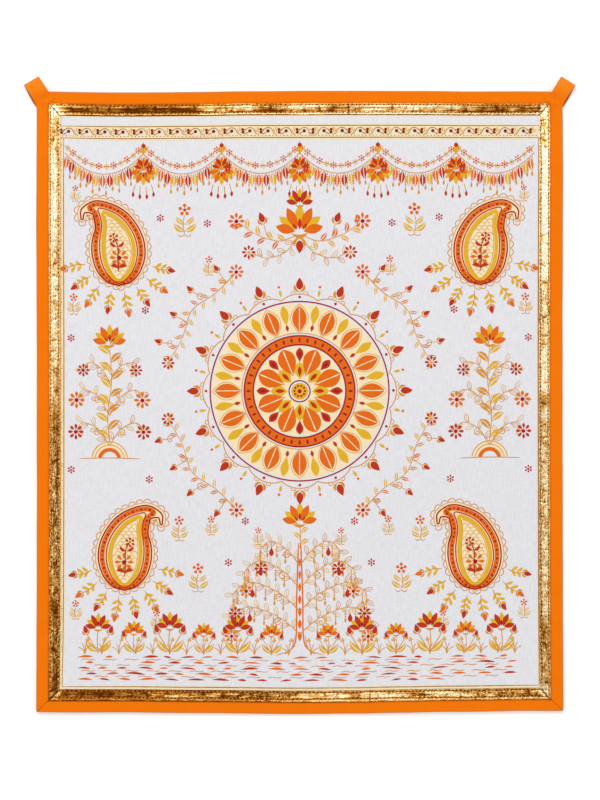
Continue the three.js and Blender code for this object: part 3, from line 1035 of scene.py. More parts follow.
def mango_garden():
    """A paisley with a fringe of leafy twigs round its foot."""
    strokes = mango()
    for index, angle in enumerate(range(-166, 1, 22)):
        root = polar(36, angle) - 4j
        end = root + polar(18 + 3 * (index % 2), angle)
        ink = (RED, ORANGE)[index % 2]
        strokes += line(GOLD, [root, lerp(root, end, 0.5) + polar(1.6, angle + 90), end])
        strokes += placed(bud(10, ink), end - polar(2, angle), angle - 90)
        for share in (0.2, 0.52):
            middle = lerp(root, end, share)
            for side in (-1, 1):
                strokes += petal(YELLOW, middle, middle + polar(8, angle + side * 46), 3.3, bow=-0.1 * side)
    return strokes


def flowering_plant():
    """A tall plant in drawn line with arching stems, on a small mound."""
    strokes = arc(GOLD, -3j, 19, 8, 172, 0.9) + arc(GOLD, -3j, 15.6, 8, 172, 0.8)
    strokes += arc(CREAM, -3j, 15.6, 8, 172, 6.0) + arc(ORANGE, -3j, 10.4, 10, 170, 4.0)
    strokes += line(GOLD, [-32 - 2j, -1.2j, 32 - 2j], 0.9)
    strokes += leafy([15j, 2 + 45j, -2 + 80j, 118j], 16, 9.0, (YELLOW, GOLD), start=4)
    strokes += placed(lotus(21), 120j)
    for side in (-1, 1):
        for low, reach, rise, radius, ink in (
            (12, 36, 24, 8.4, RED), (44, 35, 27, 9.0, ORANGE), (80, 28, 20, 7.0, RED),
        ):
            points = [1j * low, side * 0.35 * reach + 1j * (low + 0.75 * rise),
                      side * 0.8 * reach + 1j * (low + rise), side * reach + 1j * (low + 0.6 * rise)]
            strokes += leafy(points, 10.5, 6.6, (GOLD, YELLOW), start=6, shape=drawn_leaf)
            strokes += placed(blossom(radius, 8, ink, CRIMSON), points[-1])
            strokes += tendril(points[1], 90 - side * 100, 4.2, 1.1, -side)
    return strokes


def creeper():
    """A flowering creeper, bent round the medallion a little way outside it, with a
    scroll and a bud at each of its outward turns."""
    path = [polar(140 + 3.0 * (-1) ** step, 62 - 12.5 * step) for step in range(5)]
    strokes = leafy(path, 10.0, 6.4, (YELLOW, GOLD, YELLOW, ORANGE), start=7, width=0.36)
    strokes += placed(blossom(8.2, 8, ORANGE, CRIMSON), path[0])
    strokes += placed(blossom(7.0, 8, RED, YELLOW), path[-1])
    for angle, side in ((55, 1), (43.5, -1), (30.5, 1), (20, -1)):
        root = polar(140 - 2.0 * side, angle)
        strokes += tendril(root, angle + 62 * side, 4.6, 1.15, -side)
        tip = root + polar(15 if side > 0 else 13, angle + 8 * side)
        strokes += line(GOLD, [root, lerp(root, tip, 0.5) + polar(1.2, angle + 90), tip], 0.75)
        strokes += placed(bud(9, RED), tip, angle - 90)
    return strokes


def bouquet():
    """A spray with large lotuses, for the space under the garland."""
    strokes = placed(lotus(30), 0) + placed(lotus(17, RED, YELLOW, CRIMSON), 30j)
    for side in (-1, 1):
        wide = [side * 3 - 3j, side * 22 - 9j, side * 46 - 2j, side * 64 + 10j]
        low = [side * 2 - 4j, side * 14 - 20j, side * 34 - 27j, side * 50 - 22j]
        strokes += leafy(wide, 11.5, 7.2, (YELLOW, ORANGE), start=12)
        strokes += leafy(low, 10.5, 6.8, (GOLD, YELLOW), start=6, shape=drawn_leaf)
        strokes += placed(blossom(9.0, 8, ORANGE, CRIMSON), side * 67 + 12j)
        strokes += placed(blossom(7.4, 8, RED, YELLOW), side * 54 - 21j)
        strokes += placed(bud(13, RED), side * 38 + 9j, side * -20)
        strokes += line(GOLD, [side * 34 - 5j, side * 38 + 9j])
    return strokes + placed(bud(16, RED), -6j, 180)


def tree():
    """A wish tree in drawn line: a trunk with paired scrolling boughs, leaves and strings
    of beads on every bough, fruit at their ends and a lotus at the top."""
    strokes = leafy([112j, 1 + 126j, 138j], 11, 6.0, start=4) + placed(lotus(22), 139j)
    for side in (-1, 1):
        strokes += line(ORANGE, [side * 16, side * 4.6 + 14j, side * 3.2 + 60j, side * 1.2 + 118j], 1.5)
        strokes += line(GOLD, [side * 26 - 1j, side * 10 + 5j, side * 5.4 + 20j], 0.9)
        for base, reach, lift, fruit in (
            (22, 74, 28, ORANGE), (46, 70, 30, RED), (70, 58, 29, ORANGE), (94, 42, 26, RED),
        ):
            bough = [1j * base] + [side * across * reach + 1j * (base + up * lift) for across, up in (
                (0.3, 0.62), (0.72, 1.0), (1.0, 0.62), (0.98, 0.1),
            )]
            strokes += leafy(bough, 10.5, 5.4, (YELLOW, GOLD), start=8, shape=drawn_leaf)
            for place, _ in along_path(smooth(bough), 10.8, 24):
                strokes += beads(place - 1j, 15)
            strokes += placed(blossom(7.4, 8, fruit, CRIMSON), bough[-1] - 6j)
            strokes += tendril(bough[1], 90 - side * 95, 4.8, 1.2, -side)
            strokes += line(GOLD, [bough[2], bough[2] - 7j], 0.7)
            strokes += petal(RED, bough[2] - 6j, bough[2] - 16j, 5.0, widest=0.65)
    for step in range(7):
        strokes += petal(ORANGE, 1j * (14 + 13 * step), 1j * (24 + 13 * step), 4.6 - 0.4 * step)
    return strokes


def meadow():
    """The ground under the tree: low lotus plants and reeds over rows of short water
    dashes with fine ripples between them."""
    random = np.random.default_rng(7)
    strokes = []
    for row, z in enumerate((-601, -607, -613, -619, -625)):
        x = -236.0 + 9 * (row % 2)
        while x < 222:
            length, thick = random.uniform(8, 22), random.uniform(1.6, 2.5)
            ink = RED if random.random() < 0.6 else ORANGE
            lift = random.uniform(-0.8, 0.8)
            if random.random() < 0.88:
                strokes += petal(ink, x + 1j * (z + lift), x + length + 1j * (z - lift), thick, bow=0.04)
            x += length + random.uniform(5, 14)
    for z in np.arange(-604, -626, -6):
        for x in np.arange(-232 + 7 * (z % 4), 214, 23):
            ripple = [x + 1j * z, x + 5 + 1j * (z + 0.9), x + 10 + 1j * z, x + 15 + 1j * (z + 0.8)]
            strokes += line(GOLD, ripple, 0.75)
    for x in np.arange(12, 236, 18):
        blades = []
        for lean, tall in ((-7, 10), (-2.5, 15), (3, 12), (7.5, 8)):
            blades += line(GOLD, [0, lean * 0.3 + 0.6j * tall, lean + 1j * tall], 0.75)
        blades += placed(bud(5, YELLOW), -2.5 + 14j, 8)
        strokes += both_sides(placed(blades, x - 598j))
    for x, size in ((30, 0.85), (66, 1.1), (102, 0.85), (138, 1.15), (176, 0.9), (214, 1.1)):
        plant = placed(lotus(15, (ORANGE, RED)[size > 1], YELLOW, CRIMSON), 24j)
        plant += line(GOLD, [0, 0.8 + 12j, 23j])
        for side in (-1, 1):
            plant += leaf(YELLOW, 2j, side * 12 + 13j, 6.0, bow=-0.12 * side)
            plant += line(GOLD, [1j, side * 5 + 9j, side * 11 + 19j], 0.8)
            plant += placed(bud(9, RED), side * 11 + 18j, -side * 16)
        strokes += both_sides(placed(plant, x - 597j, size=size))
    return strokes


def fillers():
    """Small twigs and blossoms in the open ground between the large motifs."""
    strokes = []
    for x, z, size in (
        (122, -152, 34), (238, -116, 17), (240, -236, 22), (96, -194, 20), (238, -560, 20),
        (108, -530, 30), (128, -476, 26), (94, -470, 20), (152, -570, 20), (44, -480, 18),
    ):
        strokes += placed(sprig(size), x + 1j * z)
    for x, z in (
        (243, -262), (243, -402), (58, -456), (98, -140), (148, -134), (164, -232), (160, -412), (76, -500),
    ):
        strokes += placed(blossom(4.2, 6, RED, CRIMSON), x + 1j * z)
    return both_sides(strokes)


def design():
    """The whole print, as it lies on the flat cloth."""
    strokes = vine_band() + frame_line() + toran() + placed(bouquet(), -150j)
    strokes += placed(medallion(), -318j) + placed(tree(), -597j) + meadow() + fillers()
    strokes += both_sides(placed(mango_garden(), 192 - 172j))
    strokes += both_sides(placed(mango_garden(), 186 - 496j, flip=True))
    strokes += both_sides(placed(flowering_plant(), 202 - 388j))
    for upright in (False, True):
        strokes += both_sides(placed(creeper(), -318j, 180 * upright, flip=upright))
    return strokes


def ink_sheet(ink, strokes, material):
    """One ink's strokes as patches that lie on the cloth: each is a path carried along
    with its half-width to both sides, its edge a little uneven as a block prints it,
    and the whole block a little out of place."""
    work = Work()
    layer = FIRST_LAYER + LAYER * INKS.index(ink)
    for order, stroke in enumerate(strokes):
        path, half = stroke.path, stroke.half
        closed = abs(path[0] - path[-1]) < 1e-6
        uneven = 0 if closed else RAGGED * noise(lengths(path) / 4.0, order * 0.37, 11)
        half = np.maximum(half + np.minimum(uneven, 0.3 * half), SLIMMEST)
        columns = 2 + int(2 * half.max() / 4.0)
        side = (sideways(path, closed) * half)[:, None]
        flat = MISPLACED.get(ink, 0) + path[:, None] + side * np.linspace(-1, 1, columns)
        depth = PANEL_FACE + layer + STROKE_LIFT * (order % STROKE_LEVELS)
        work.add_grid(hang(flat.real, flat.imag, depth), flat.real, flat.imag)
    piece = work.make(f"print_{ink}", material, solid=False, sharp=180)
    return piece


# ---- gota ribbon

# How the foil lies along each edge: the place (x on the level edges, z on the upright
# ones), its tone between the rows of stitches and outside them, from deep brown (0) to
# pale gold (1), and how crumpled it is. The tones are painted reflection and shade.
Foil = namedtuple("Foil", "place body margin crumple")
FOILS = {
    "top": (
        (-272, 0.92, 0.80, 0.3), (-256, 0.86, 0.76, 0.3), (-244, 0.42, 0.50, 0.3), (-225, 0.33, 0.38, 0.3),
        (-116, 0.28, 0.36, 0.3), (-98, 0.66, 0.64, 0.4), (-52, 0.62, 0.68, 0.4), (-42, 0.44, 0.60, 0.4),
        (-30, 0.35, 0.50, 0.4), (-18, 0.48, 0.56, 0.4), (-6, 0.74, 0.80, 0.3), (14, 0.76, 0.82, 0.3),
        (24, 0.64, 0.75, 0.4), (34, 0.38, 0.72, 0.4), (46, 0.64, 0.66, 0.4), (62, 0.64, 0.70, 0.4),
        (73, 0.82, 0.80, 0.3), (89, 0.80, 0.79, 0.4), (98, 0.62, 0.75, 0.4), (108, 0.80, 0.79, 0.4),
        (140, 0.84, 0.78, 0.3), (164, 0.72, 0.71, 0.4), (178, 0.56, 0.67, 0.5), (196, 0.38, 0.61, 0.4),
        (250, 0.46, 0.69, 0.4), (261, 0.90, 0.80, 0.3),
    ),
    "bottom": (
        (-262, 0.38, 0.48, 0.4), (-244, 0.32, 0.46, 0.4), (-172, 0.30, 0.48, 0.4), (-156, 0.45, 0.50, 0.5),
        (-95, 0.45, 0.52, 0.5), (-62, 0.47, 0.54, 0.6), (-24, 0.50, 0.58, 0.6), (-6, 0.62, 0.64, 0.4),
        (8, 0.56, 0.64, 0.4), (22, 0.70, 0.74, 0.4), (34, 0.76, 0.78, 0.3), (50, 0.70, 0.78, 0.4),
        (60, 0.48, 0.68, 0.4), (71, 0.74, 0.80, 0.4), (94, 0.76, 0.80, 0.4), (113, 0.74, 0.78, 0.5),
        (124, 0.54, 0.72, 0.6), (136, 0.66, 0.74, 0.6), (158, 0.72, 0.76, 0.5), (174, 0.52, 0.70, 0.6),
        (212, 0.62, 0.74, 0.6), (238, 0.68, 0.76, 0.5), (258, 0.70, 0.74, 0.4),
    ),
    "left": (
        (-648, 0.30, 0.49, 0.4), (-626, 0.32, 0.49, 0.5), (-612, 0.44, 0.55, 0.6), (-596, 0.52, 0.56, 0.6),
        (-576, 0.45, 0.55, 0.7), (-558, 0.38, 0.51, 0.5), (-535, 0.43, 0.54, 0.6), (-500, 0.48, 0.62, 0.7),
        (-469, 0.53, 0.62, 0.7), (-440, 0.52, 0.65, 0.7), (-370, 0.46, 0.63, 0.6), (-345, 0.54, 0.63, 0.4),
        (-334, 0.74, 0.72, 0.4), (-312, 0.74, 0.77, 0.4), (-292, 0.64, 0.76, 0.5), (-268, 0.80, 0.79, 0.5),
        (-212, 0.84, 0.80, 0.5), (-201, 0.95, 0.81, 0.3), (-188, 0.72, 0.78, 0.5), (-172, 0.80, 0.80, 0.5),
        (-160, 0.92, 0.83, 0.2), (-114, 0.96, 0.83, 0.1), (-99, 0.88, 0.81, 0.3), (-84, 0.97, 0.83, 0.2),
        (-62, 0.78, 0.81, 0.5), (-40, 0.74, 0.79, 0.5), (-26, 0.82, 0.82, 0.3), (-14, 0.90, 0.86, 0.12),
    ),
    "right": (
        (-648, 0.74, 0.78, 0.5), (-624, 0.62, 0.70, 0.6), (-594, 0.55, 0.66, 0.6), (-574, 0.64, 0.64, 0.6),
        (-548, 0.79, 0.72, 0.6), (-480, 0.84, 0.77, 0.7), (-420, 0.85, 0.78, 0.6), (-372, 0.80, 0.77, 0.6),
        (-340, 0.90, 0.80, 0.4), (-329, 0.53, 0.64, 0.3), (-318, 0.91, 0.81, 0.3), (-300, 0.93, 0.82, 0.4),
        (-262, 0.86, 0.79, 0.5), (-236, 0.74, 0.74, 0.7), (-216, 0.89, 0.82, 0.5), (-204, 0.83, 0.81, 0.5),
        (-190, 0.93, 0.84, 0.3), (-170, 0.96, 0.85, 0.2), (-160, 0.89, 0.83, 0.4), (-146, 0.98, 0.85, 0.1),
        (-80, 0.98, 0.83, 0.1), (-56, 0.87, 0.81, 0.3), (-32, 0.77, 0.78, 0.6), (-14, 0.83, 0.80, 0.5),
    ),
}
JOINS = {"top": 52, "bottom": 74}        # where the ribbon's ends overlap, as x
STREAKS = {"top": 0.28, "bottom": 0.24, "left": 0.16, "right": 0.12}    # how streaky its painted reflection is
RIMS = {"top": 0.23, "bottom": 0.08, "left": 0.12, "right": 0.06}       # gleam of its rims
SHADE_SLOPES = {"top": -0.14, "bottom": 0.26, "left": -0.05, "right": 0.0}    # painted light and shade across the puffed ribbon: its rise in tone inwards

FOIL_THICK = 0.16        # the ribbon's thickness
FOIL_ON_TAPE = 0.14      # its outer side lies this far above the binding
FOIL_ON_CLOTH = 0.20     # and its inner side this far above the panel
PUFF = 0.55              # how far it stands up between its two rows of stitches
PUCKER = 0.34            # how far a stitch draws it in
# Its tone where the outer row of stitches draws it in, and the inner row, as painted
# light and shade on the drawn-in foil, and how far it goes towards that tone.
ROW_SHADING = {"top": (0.46, 0.85), "bottom": (0.08, 0.0), "left": (0.74, 0.70), "right": (0.68, 0.50)}
ROW_SHARE = 0.72
# How dark the painted shade on its folded edges is, the outer one and the inner one.
FOIL_FOLD_SHADES = {"top": (0.04, 0.85), "bottom": (0.24, 0.45), "left": (0.06, 0.30), "right": (0.04, 0.18)}
LUMPS = 0.30             # relief of its lumps where it is most crumpled
CREASE = 0.42            # depth of its sharp creases
CREASE_SHADE = 0.40       # and the painted shade in them, as a tone
MITRE_DIP = 0.35         # how far it dips at a mitre
MITRE_RIPPLE = 0.16      # and the ripples beside it
MITRE_SHADE = 0.55        # how dark the painted shade in a mitre's line is
MITRE_HIGHLIGHT = 0.2         # and how bright the painted highlight on the fold beside it
JOIN_STEP = 0.22         # how far it stands up where its ends overlap
JOIN_SHADE = 0.45         # and how dark the painted shade in the line there is
STRAY = 0.35             # how far its rows of stitches stray at most
STITCH_ROOM = 2.6        # from a mitre to the middle of the nearest stitch
STITCH_BOW = 0.32        # how far a stitch stands up in its middle
STITCH_SUNK = 0.12       # and how far its ends are sunk into the foil
STITCH_SWING = 0.16      # how far its ends lie out of line
STITCH_TAPER = np.array([0.55, 0.95, 1.0, 0.95, 0.55])   # how thick a stitch is, ring by ring
STITCH_SIDES = 6         # points round each ring


def seed_of(edge, layer=0):
    """The seed of the random draws for one layer of an edge's ribbon."""
    return sum(map(ord, edge)) + layer


def foil_width(edge):
    """The width of an edge's ribbon."""
    return EDGES[edge].foil_to - EDGES[edge].foil_from


def foil_place(edge, along):
    """The x or z that the foil table uses, for distances along an edge."""
    x, z = pattern(edge, along, 0)
    return x if edge in ("top", "bottom") else z


def foil_column(edge, along, column):
    """One column of an edge's foil table, with smooth changes from row to row."""
    rows = [(row.place, getattr(row, column)) for row in (Foil(*values) for values in FOILS[edge])]
    return wander(rows, foil_place(edge, along))


def creases(edge, along, over):
    """Short sharp furrows across the ribbon, from 0 to 1: each is a bell curve round a
    slanting line, fading towards its ends, at random places 6 to 24 mm apart."""
    run, width = RUNS[edge], foil_width(edge)
    random = np.random.default_rng(seed_of(edge))
    total = np.zeros(np.broadcast(along, over).shape)
    place = random.uniform(4, 12)
    while place < run.length:
        slant, thick = random.uniform(-0.5, 0.5), random.uniform(0.5, 1.25)
        middle, reach = random.uniform(0.3, 0.7) * width, random.uniform(0.14, 0.34) * width
        fade = ((along - place - slant * (over - middle)) / thick) ** 2 + ((over - middle) / reach) ** 4
        total = np.maximum(total, random.uniform(0.5, 1.0) * np.exp(-fade))
        place += random.uniform(6, 24)
    return total


def crumple(edge, along, over):
    """Uneven lumps of the foil, from -1 to 1, in three sizes."""
    seed = seed_of(edge, 1)
    lumps = 0.5 * noise(along / 5.0, over / 4.0, seed) + 0.32 * noise(along / 2.3, over / 2.1, seed + 1)
    return lumps + 0.18 * noise(along / 1.2, over / 1.1, seed + 2)


def stray(edge, along):
    """How far an edge's rows of stitches lie out of line."""
    return STRAY * noise(along / 38.0, 2.5, seed_of(edge, 4))


def from_rows(edge, along, over):
    """How far inside the outer row of stitches a place on the ribbon lies, and how far
    inside the inner row."""
    own = EDGES[edge]
    off = stray(edge, along)
    return over - own.outer_row - off, foil_width(edge) - own.inner_row - over + off


def stitch_steps(edge, along, settings):
    """Counts an edge's stitches: their pitch varies softly by about a sixth."""
    return along / (settings.stitch_pitch / MM) + 0.45 * noise(along / 8.0, 0.5, seed_of(edge, 3))


def foil_depth(edge, along, over, settings):
    """The depth of the foil's face: from the binding down to the panel, puffed up
    between the stitch rows, drawn in at each stitch, crumpled and creased."""
    width = foil_width(edge)
    slope = smoothstep(0.2, 0.55 * width, over)
    resting = lerp(BINDING_FACE + FOIL_ON_TAPE, PANEL_FACE + FOIL_ON_CLOTH, slope)
    puff = PUFF * np.sin(np.pi * np.clip(over / width, 0, 1)) ** 0.7
    drawn = PUCKER * (0.75 + 0.25 * np.cos(2 * np.pi * stitch_steps(edge, along, settings)))
    outer, inner = from_rows(edge, along, over)
    pull = drawn * bell(np.minimum(np.abs(outer), np.abs(inner)), 0.75)
    inside = smoothstep(0, 1.2, over) * smoothstep(0, 1.2, width - over)
    rough = foil_column(edge, along, "crumple")
    relief = LUMPS * rough * crumple(edge, along, over) - CREASE * creases(edge, along, over)
    return resting + puff - pull + inside * relief


def foil_tone(edge, along, over):
    """The tone of the foil, painted reflection and shade: its table's two tones, with lumps,
    streaks and creases with painted shade between the rows of stitches, and small specks
    outside them. Between the rows it falls or rises evenly from side to side, as painted
    light and shade across the puffed ribbon. Along a row, where the foil is drawn in, it
    is nearer to the row's own painted tone. It has a painted gleam where it turns over,
    just inside the outer row and just outside the inner one, and painted shade just
    inside that. Its folded edges have painted shade."""
    rough = foil_column(edge, along, "crumple")
    seed = seed_of(edge, 7)
    streaks = noise(along / 13.0, over / 1.7, seed) + 0.7 * noise(along / 34.0, over / 2.4, seed + 2)
    body = foil_column(edge, along, "body") + STREAKS[edge] * (0.3 + rough) * streaks
    body = body + SHADE_SLOPES[edge] * (over / foil_width(edge) - 0.5)
    lumps = np.tanh(2.2 * crumple(edge, along, over))
    body = body + (0.02 + 0.30 * rough) * lumps
    body = body - CREASE_SHADE * smoothstep(0.05, 0.35, rough) * creases(edge, along, over)
    margin = foil_column(edge, along, "margin") + 0.13 * noise(along / 1.9, over / 1.2, seed + 1)
    outer, inner = from_rows(edge, along, over)
    tone = lerp(margin, body, smoothstep(-0.5, 0.5, outer) * smoothstep(-0.5, 0.5, inner))
    gleam = bell(outer - 1.3, 0.8) + bell(inner + 1.2, 0.6) - bell(inner - 1.6, 1.0)
    tone = tone + RIMS[edge] * gleam
    for row_tone, from_row in zip(ROW_SHADING[edge], (outer, inner)):
        tone = lerp(tone, row_tone, ROW_SHARE * bell(from_row, 0.7))
    outer_fold, inner_fold = FOIL_FOLD_SHADES[edge]
    tone = tone - outer_fold * bell(over, 0.8)
    return tone - inner_fold * bell(foil_width(edge) - over, 0.7)


def mitre(edge, other, inset):
    """How far along an edge its mitre with a neighbour lies, for an inset: a straight
    line from the bindings' outer corner, or from the ribbons'."""
    own, next_to = EDGES[edge], EDGES[other]
    across = (inset - own.foil_from) / foil_width(edge)
    on_ribbon = lerp(next_to.foil_from, next_to.foil_to, across)
    return np.where(inset < own.foil_from, inset * next_to.binding / own.binding, on_ribbon)


def gota(edge, settings, material):
    """One ribbon of foil, mitred at both ends, as a thin closed sheet. It dips at each
    mitre, painted there with a dark line of shade and a painted highlight on the fold
    beside it, and stands up a little where its ends overlap, with a painted line of
    shade there."""
    width, length = foil_width(edge), RUNS[edge].length
    step = settings.foil_step / MM
    over = np.linspace(0, width, round(width / step) + 1)
    inset = over + EDGES[edge].foil_from
    start, end = mitre(edge, BEFORE[edge], inset), length - mitre(edge, AFTER[edge], inset)
    share = np.linspace(0, 1, round(length / step))[:, None]
    along = lerp(start, end, share)
    seam = np.minimum(along - start, end - along)
    depth = foil_depth(edge, along, over, settings) - MITRE_DIP * bell(seam, 0.7)
    depth = depth + MITRE_RIPPLE * np.sin(3.1 * seam) * bell(seam, 4.0)
    tone = foil_tone(edge, along, over)
    inner = smoothstep(0.12, 0.3, over / width)
    # Painted shade in the mitre's line, and a painted highlight on the fold beside it.
    tone = tone + inner * (MITRE_HIGHLIGHT * bell(seam - 3.2, 2.4) - MITRE_SHADE * bell(seam, 0.5))
    if edge in JOINS:
        gap = foil_place(edge, along) - JOINS[edge] - 0.06 * over
        depth = depth + JOIN_STEP * smoothstep(-0.4, 0.4, gap) * (1 - smoothstep(2, 9, gap))
        # Painted shade in the line where the ends overlap.
        tone = tone - JOIN_SHADE * bell(gap, 0.6)
    x, z = pattern(edge, along, inset)
    outer_row, inner_row = from_rows(edge, along, over)
    work = Work()
    work.add_sheet(
        hang(x, z, depth), hang(x, z, depth - FOIL_THICK), tone=tone, along=along, over=over + 0 * along,
        stitch=stitch_steps(edge, along, settings), rough=foil_column(edge, along, "crumple"),
        from_outer_row=outer_row, from_inner_row=inner_row,
    )
    piece = work.make(f"gota_{edge}", material, chart_rows=14, sharp=75)
    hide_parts(f"ribbon_{edge}")
    return piece


def stitches(edge, settings, material):
    """The running stitches along both sides of a ribbon: each a short bowed thread of
    five rings, closed at both ends, that dips into the foil where the needle went."""
    places = np.arange(0, RUNS[edge].length, 0.5)
    counts = stitch_steps(edge, places, settings)
    thick = settings.thread / MM / 2 * STITCH_TAPER
    share = np.linspace(-1, 1, len(STITCH_TAPER))
    turn = np.linspace(0, 2 * np.pi, STITCH_SIDES, endpoint=False)
    work = Work()
    for over_row in (EDGES[edge].outer_row, foil_width(edge) - EDGES[edge].inner_row):
        inset = over_row + EDGES[edge].foil_from
        first, last = mitre(edge, BEFORE[edge], inset), RUNS[edge].length - mitre(edge, AFTER[edge], inset)
        steps = np.arange(math.ceil(counts[0]), math.floor(counts[-1])) + 0.5
        middles = np.interp(steps, counts, places)
        middles = middles[(middles > first + STITCH_ROOM) & (middles < last - STITCH_ROOM)]
        random = np.random.default_rng(int(10 * inset))
        spans = settings.stitch_length / MM * random.uniform(0.9, 1.08, len(middles))
        swing = random.uniform(-STITCH_SWING, STITCH_SWING, len(middles))
        place = middles[:, None] + spans[:, None] / 2 * share
        across = over_row + stray(edge, place) + swing[:, None] * share
        bow = STITCH_BOW * (1 - share**2) - STITCH_SUNK
        depth = (foil_depth(edge, place, across, settings) + bow)[..., None] + thick[:, None] * np.cos(turn)
        over = across[..., None] + thick[:, None] * np.sin(turn)
        x, z = pattern(edge, place[..., None], over + EDGES[edge].foil_from)
        numbers = work.add_points(hang(x, z, depth), along=place[..., None])
        looped = np.concatenate([numbers, numbers[..., :1]], axis=-1)
        work.add_quads(looped, place[..., None], over_row + np.linspace(0, 2, STITCH_SIDES + 1))
        for end, shift in ((numbers[:, 0], -0.5), (numbers[:, -1, ::-1], 0.5)):
            along = middles[:, None] + shift + 0.3 * np.cos(turn)
            work.add_lids(end, along, over_row + 3 + 0.3 * np.sin(turn))
    piece = work.make(f"stitches_{edge}", material, chart_rows=8, sharp=180)
    return piece


# ---- binding and loops

TAPE = 0.5               # thickness of the orange cotton
BEND = 1.2               # how far in from the edge its fold begins
TUCK = 1.6               # how far it runs on under the ribbon
FACE_WAVES = 0.16        # how uneven the binding's face is, over a hand's breadth
FACE_LUMPS = 0.07        # and over a finger's
EDGE_WAVES = 0.22        # how far its outer edge wanders
MITRE_DRAWN = 0.5        # how far a mitre draws the binding in
MITRE_ROUND = 1.1        # and how far its outer corner is rounded off
UNDER_LOOP = {"left": 0.8, "right": 3.4}     # how far the top strip runs on under each loop
UNDER_DIP = 0.2          # and how much lower it lies there
LOOP_FOOT = (-0.2, -17.1)        # a loop's outer foot, out and up from the cloth's corner
LOOP_OUTER = {"left": (13.5, 6.5), "right": (14.0, 6.4)}     # its tip's outer corner
LOOP_INNER = {"left": (-2.2, 15.8), "right": (-1.2, 15.8)}   # and its tip's inner corner
LOOP_WIDTH = {"left": 12.9, "right": 10.9}   # its width where it crosses the cloth's edge
LOOP_TIP = 3.65          # outer radius of the fold at the tip
LOOP_OPENS = 0.10        # share of its length where the two layers part
LOOP_OPEN = 0.96         # share of its length where the eye is full
LOOP_BOW = 1.0           # how far the hidden layer bows out along the outer edge
LOOP_HOLLOW = 1.2        # and how far the face is drawn in there
LOOP_SOFT = 0.14         # how uneven its face is
LOOP_CAMBER = 0.2        # how far its face bows out across its width
HIDDEN_SHADE = 0.45       # how dark the painted shade on the hidden layer is, from 0 to 1
TAPE_FOLD_SHADE = 0.85             # how strong the painted shade along the tape's rounded folds is, from 0 to 1

# The puckers where the top binding meets the side tapes, with x inwards from the
# cloth's corner.
PUCKERS = (
    Fold(10.2, -10.2, 16, 3.4, 1.0, 2, 0.34),
    Fold(15.2, -8.0, 30, 2.6, 0.9, 2, 0.24),
    Fold(18.6, -7.8, -30, 2.6, 0.8, 2, -0.26),
    Fold(15.6, -10.8, -12, 2.8, 0.9, 2, -0.34),
    Fold(7.6, -13.5, 62, 3.6, 1.2, 2, -0.20),
    Fold(8.6, -3.8, 84, 3.6, 0.9, 2, -0.18),
    Fold(5.0, -21.0, 96, 7.0, 1.2, 2, 0.14),
    Fold(11.4, -20.0, 92, 6.0, 1.0, 2, -0.16),
)


def pucker(x, z):
    """The relief of the corner puckers, the same at both top corners."""
    inward = WIDTH / 2 - np.abs(x)
    return sum(hump(fold, inward, z) for fold in PUCKERS)


def lit(crease):
    """How strong the painted highlight on a ridge of the puckers is, towards the paler colour."""
    return np.clip(crease * 2.4, 0, 0.8)


def shaded(crease):
    """How dark the painted shade in a furrow of the puckers is."""
    return np.clip(-crease * 1.1, 0, 0.3)


def stations(length, step):
    """Distances from 0 to length at an even step, closer together towards both ends."""
    close = np.array([0, 1, 2, 3, 4.5, 6.5, 9, 12.5, 17]) / 4
    inner = np.linspace(close[-1], length - close[-1], round((length - 2 * close[-1]) / step))
    return np.concatenate([close[:-1], inner, (length - close[:-1])[::-1]])


def binding_section(width):
    """The binding's two faces as distances in from the edge and depths: a leg on the
    cloth's face, half an ellipse round its edge, and a leg behind it."""
    leg = np.linspace(width + TUCK, BEND, 13)[:-1]
    turn = np.linspace(0, np.pi, 13)
    faces = []
    for within in (0, TAPE):
        half = BINDING_FACE / 2 - within
        flat = np.full(len(leg), half)
        inset = np.concatenate([leg, BEND - (BEND - within) * np.sin(turn), leg[::-1]])
        depth = BINDING_FACE / 2 + np.concatenate([flat, half * np.cos(turn), -flat])
        faces.append((inset, depth))
    return faces


def binding_cuts(edge, inset):
    """Where a strip of binding begins and ends along its edge, for each inset: in a mitre
    at a bottom corner, a little way under the loops at the ends of the top strip, and in
    a loop's slanting seam at the top of a side strip."""
    length = RUNS[edge].length
    if edge == "bottom":
        return mitre(edge, "right", inset), length - mitre(edge, "left", inset)
    if edge == "top":
        left, right = (EDGES[side].binding - UNDER_LOOP[side] + 0 * inset for side in SIDES)
        return left, length - right
    low = mitre(edge, "bottom", inset)
    high = lerp(-LOOP_FOOT[1], EDGES["top"].binding, inset / EDGES[edge].binding)
    return (high, length - low) if edge == "right" else (low, length - high)


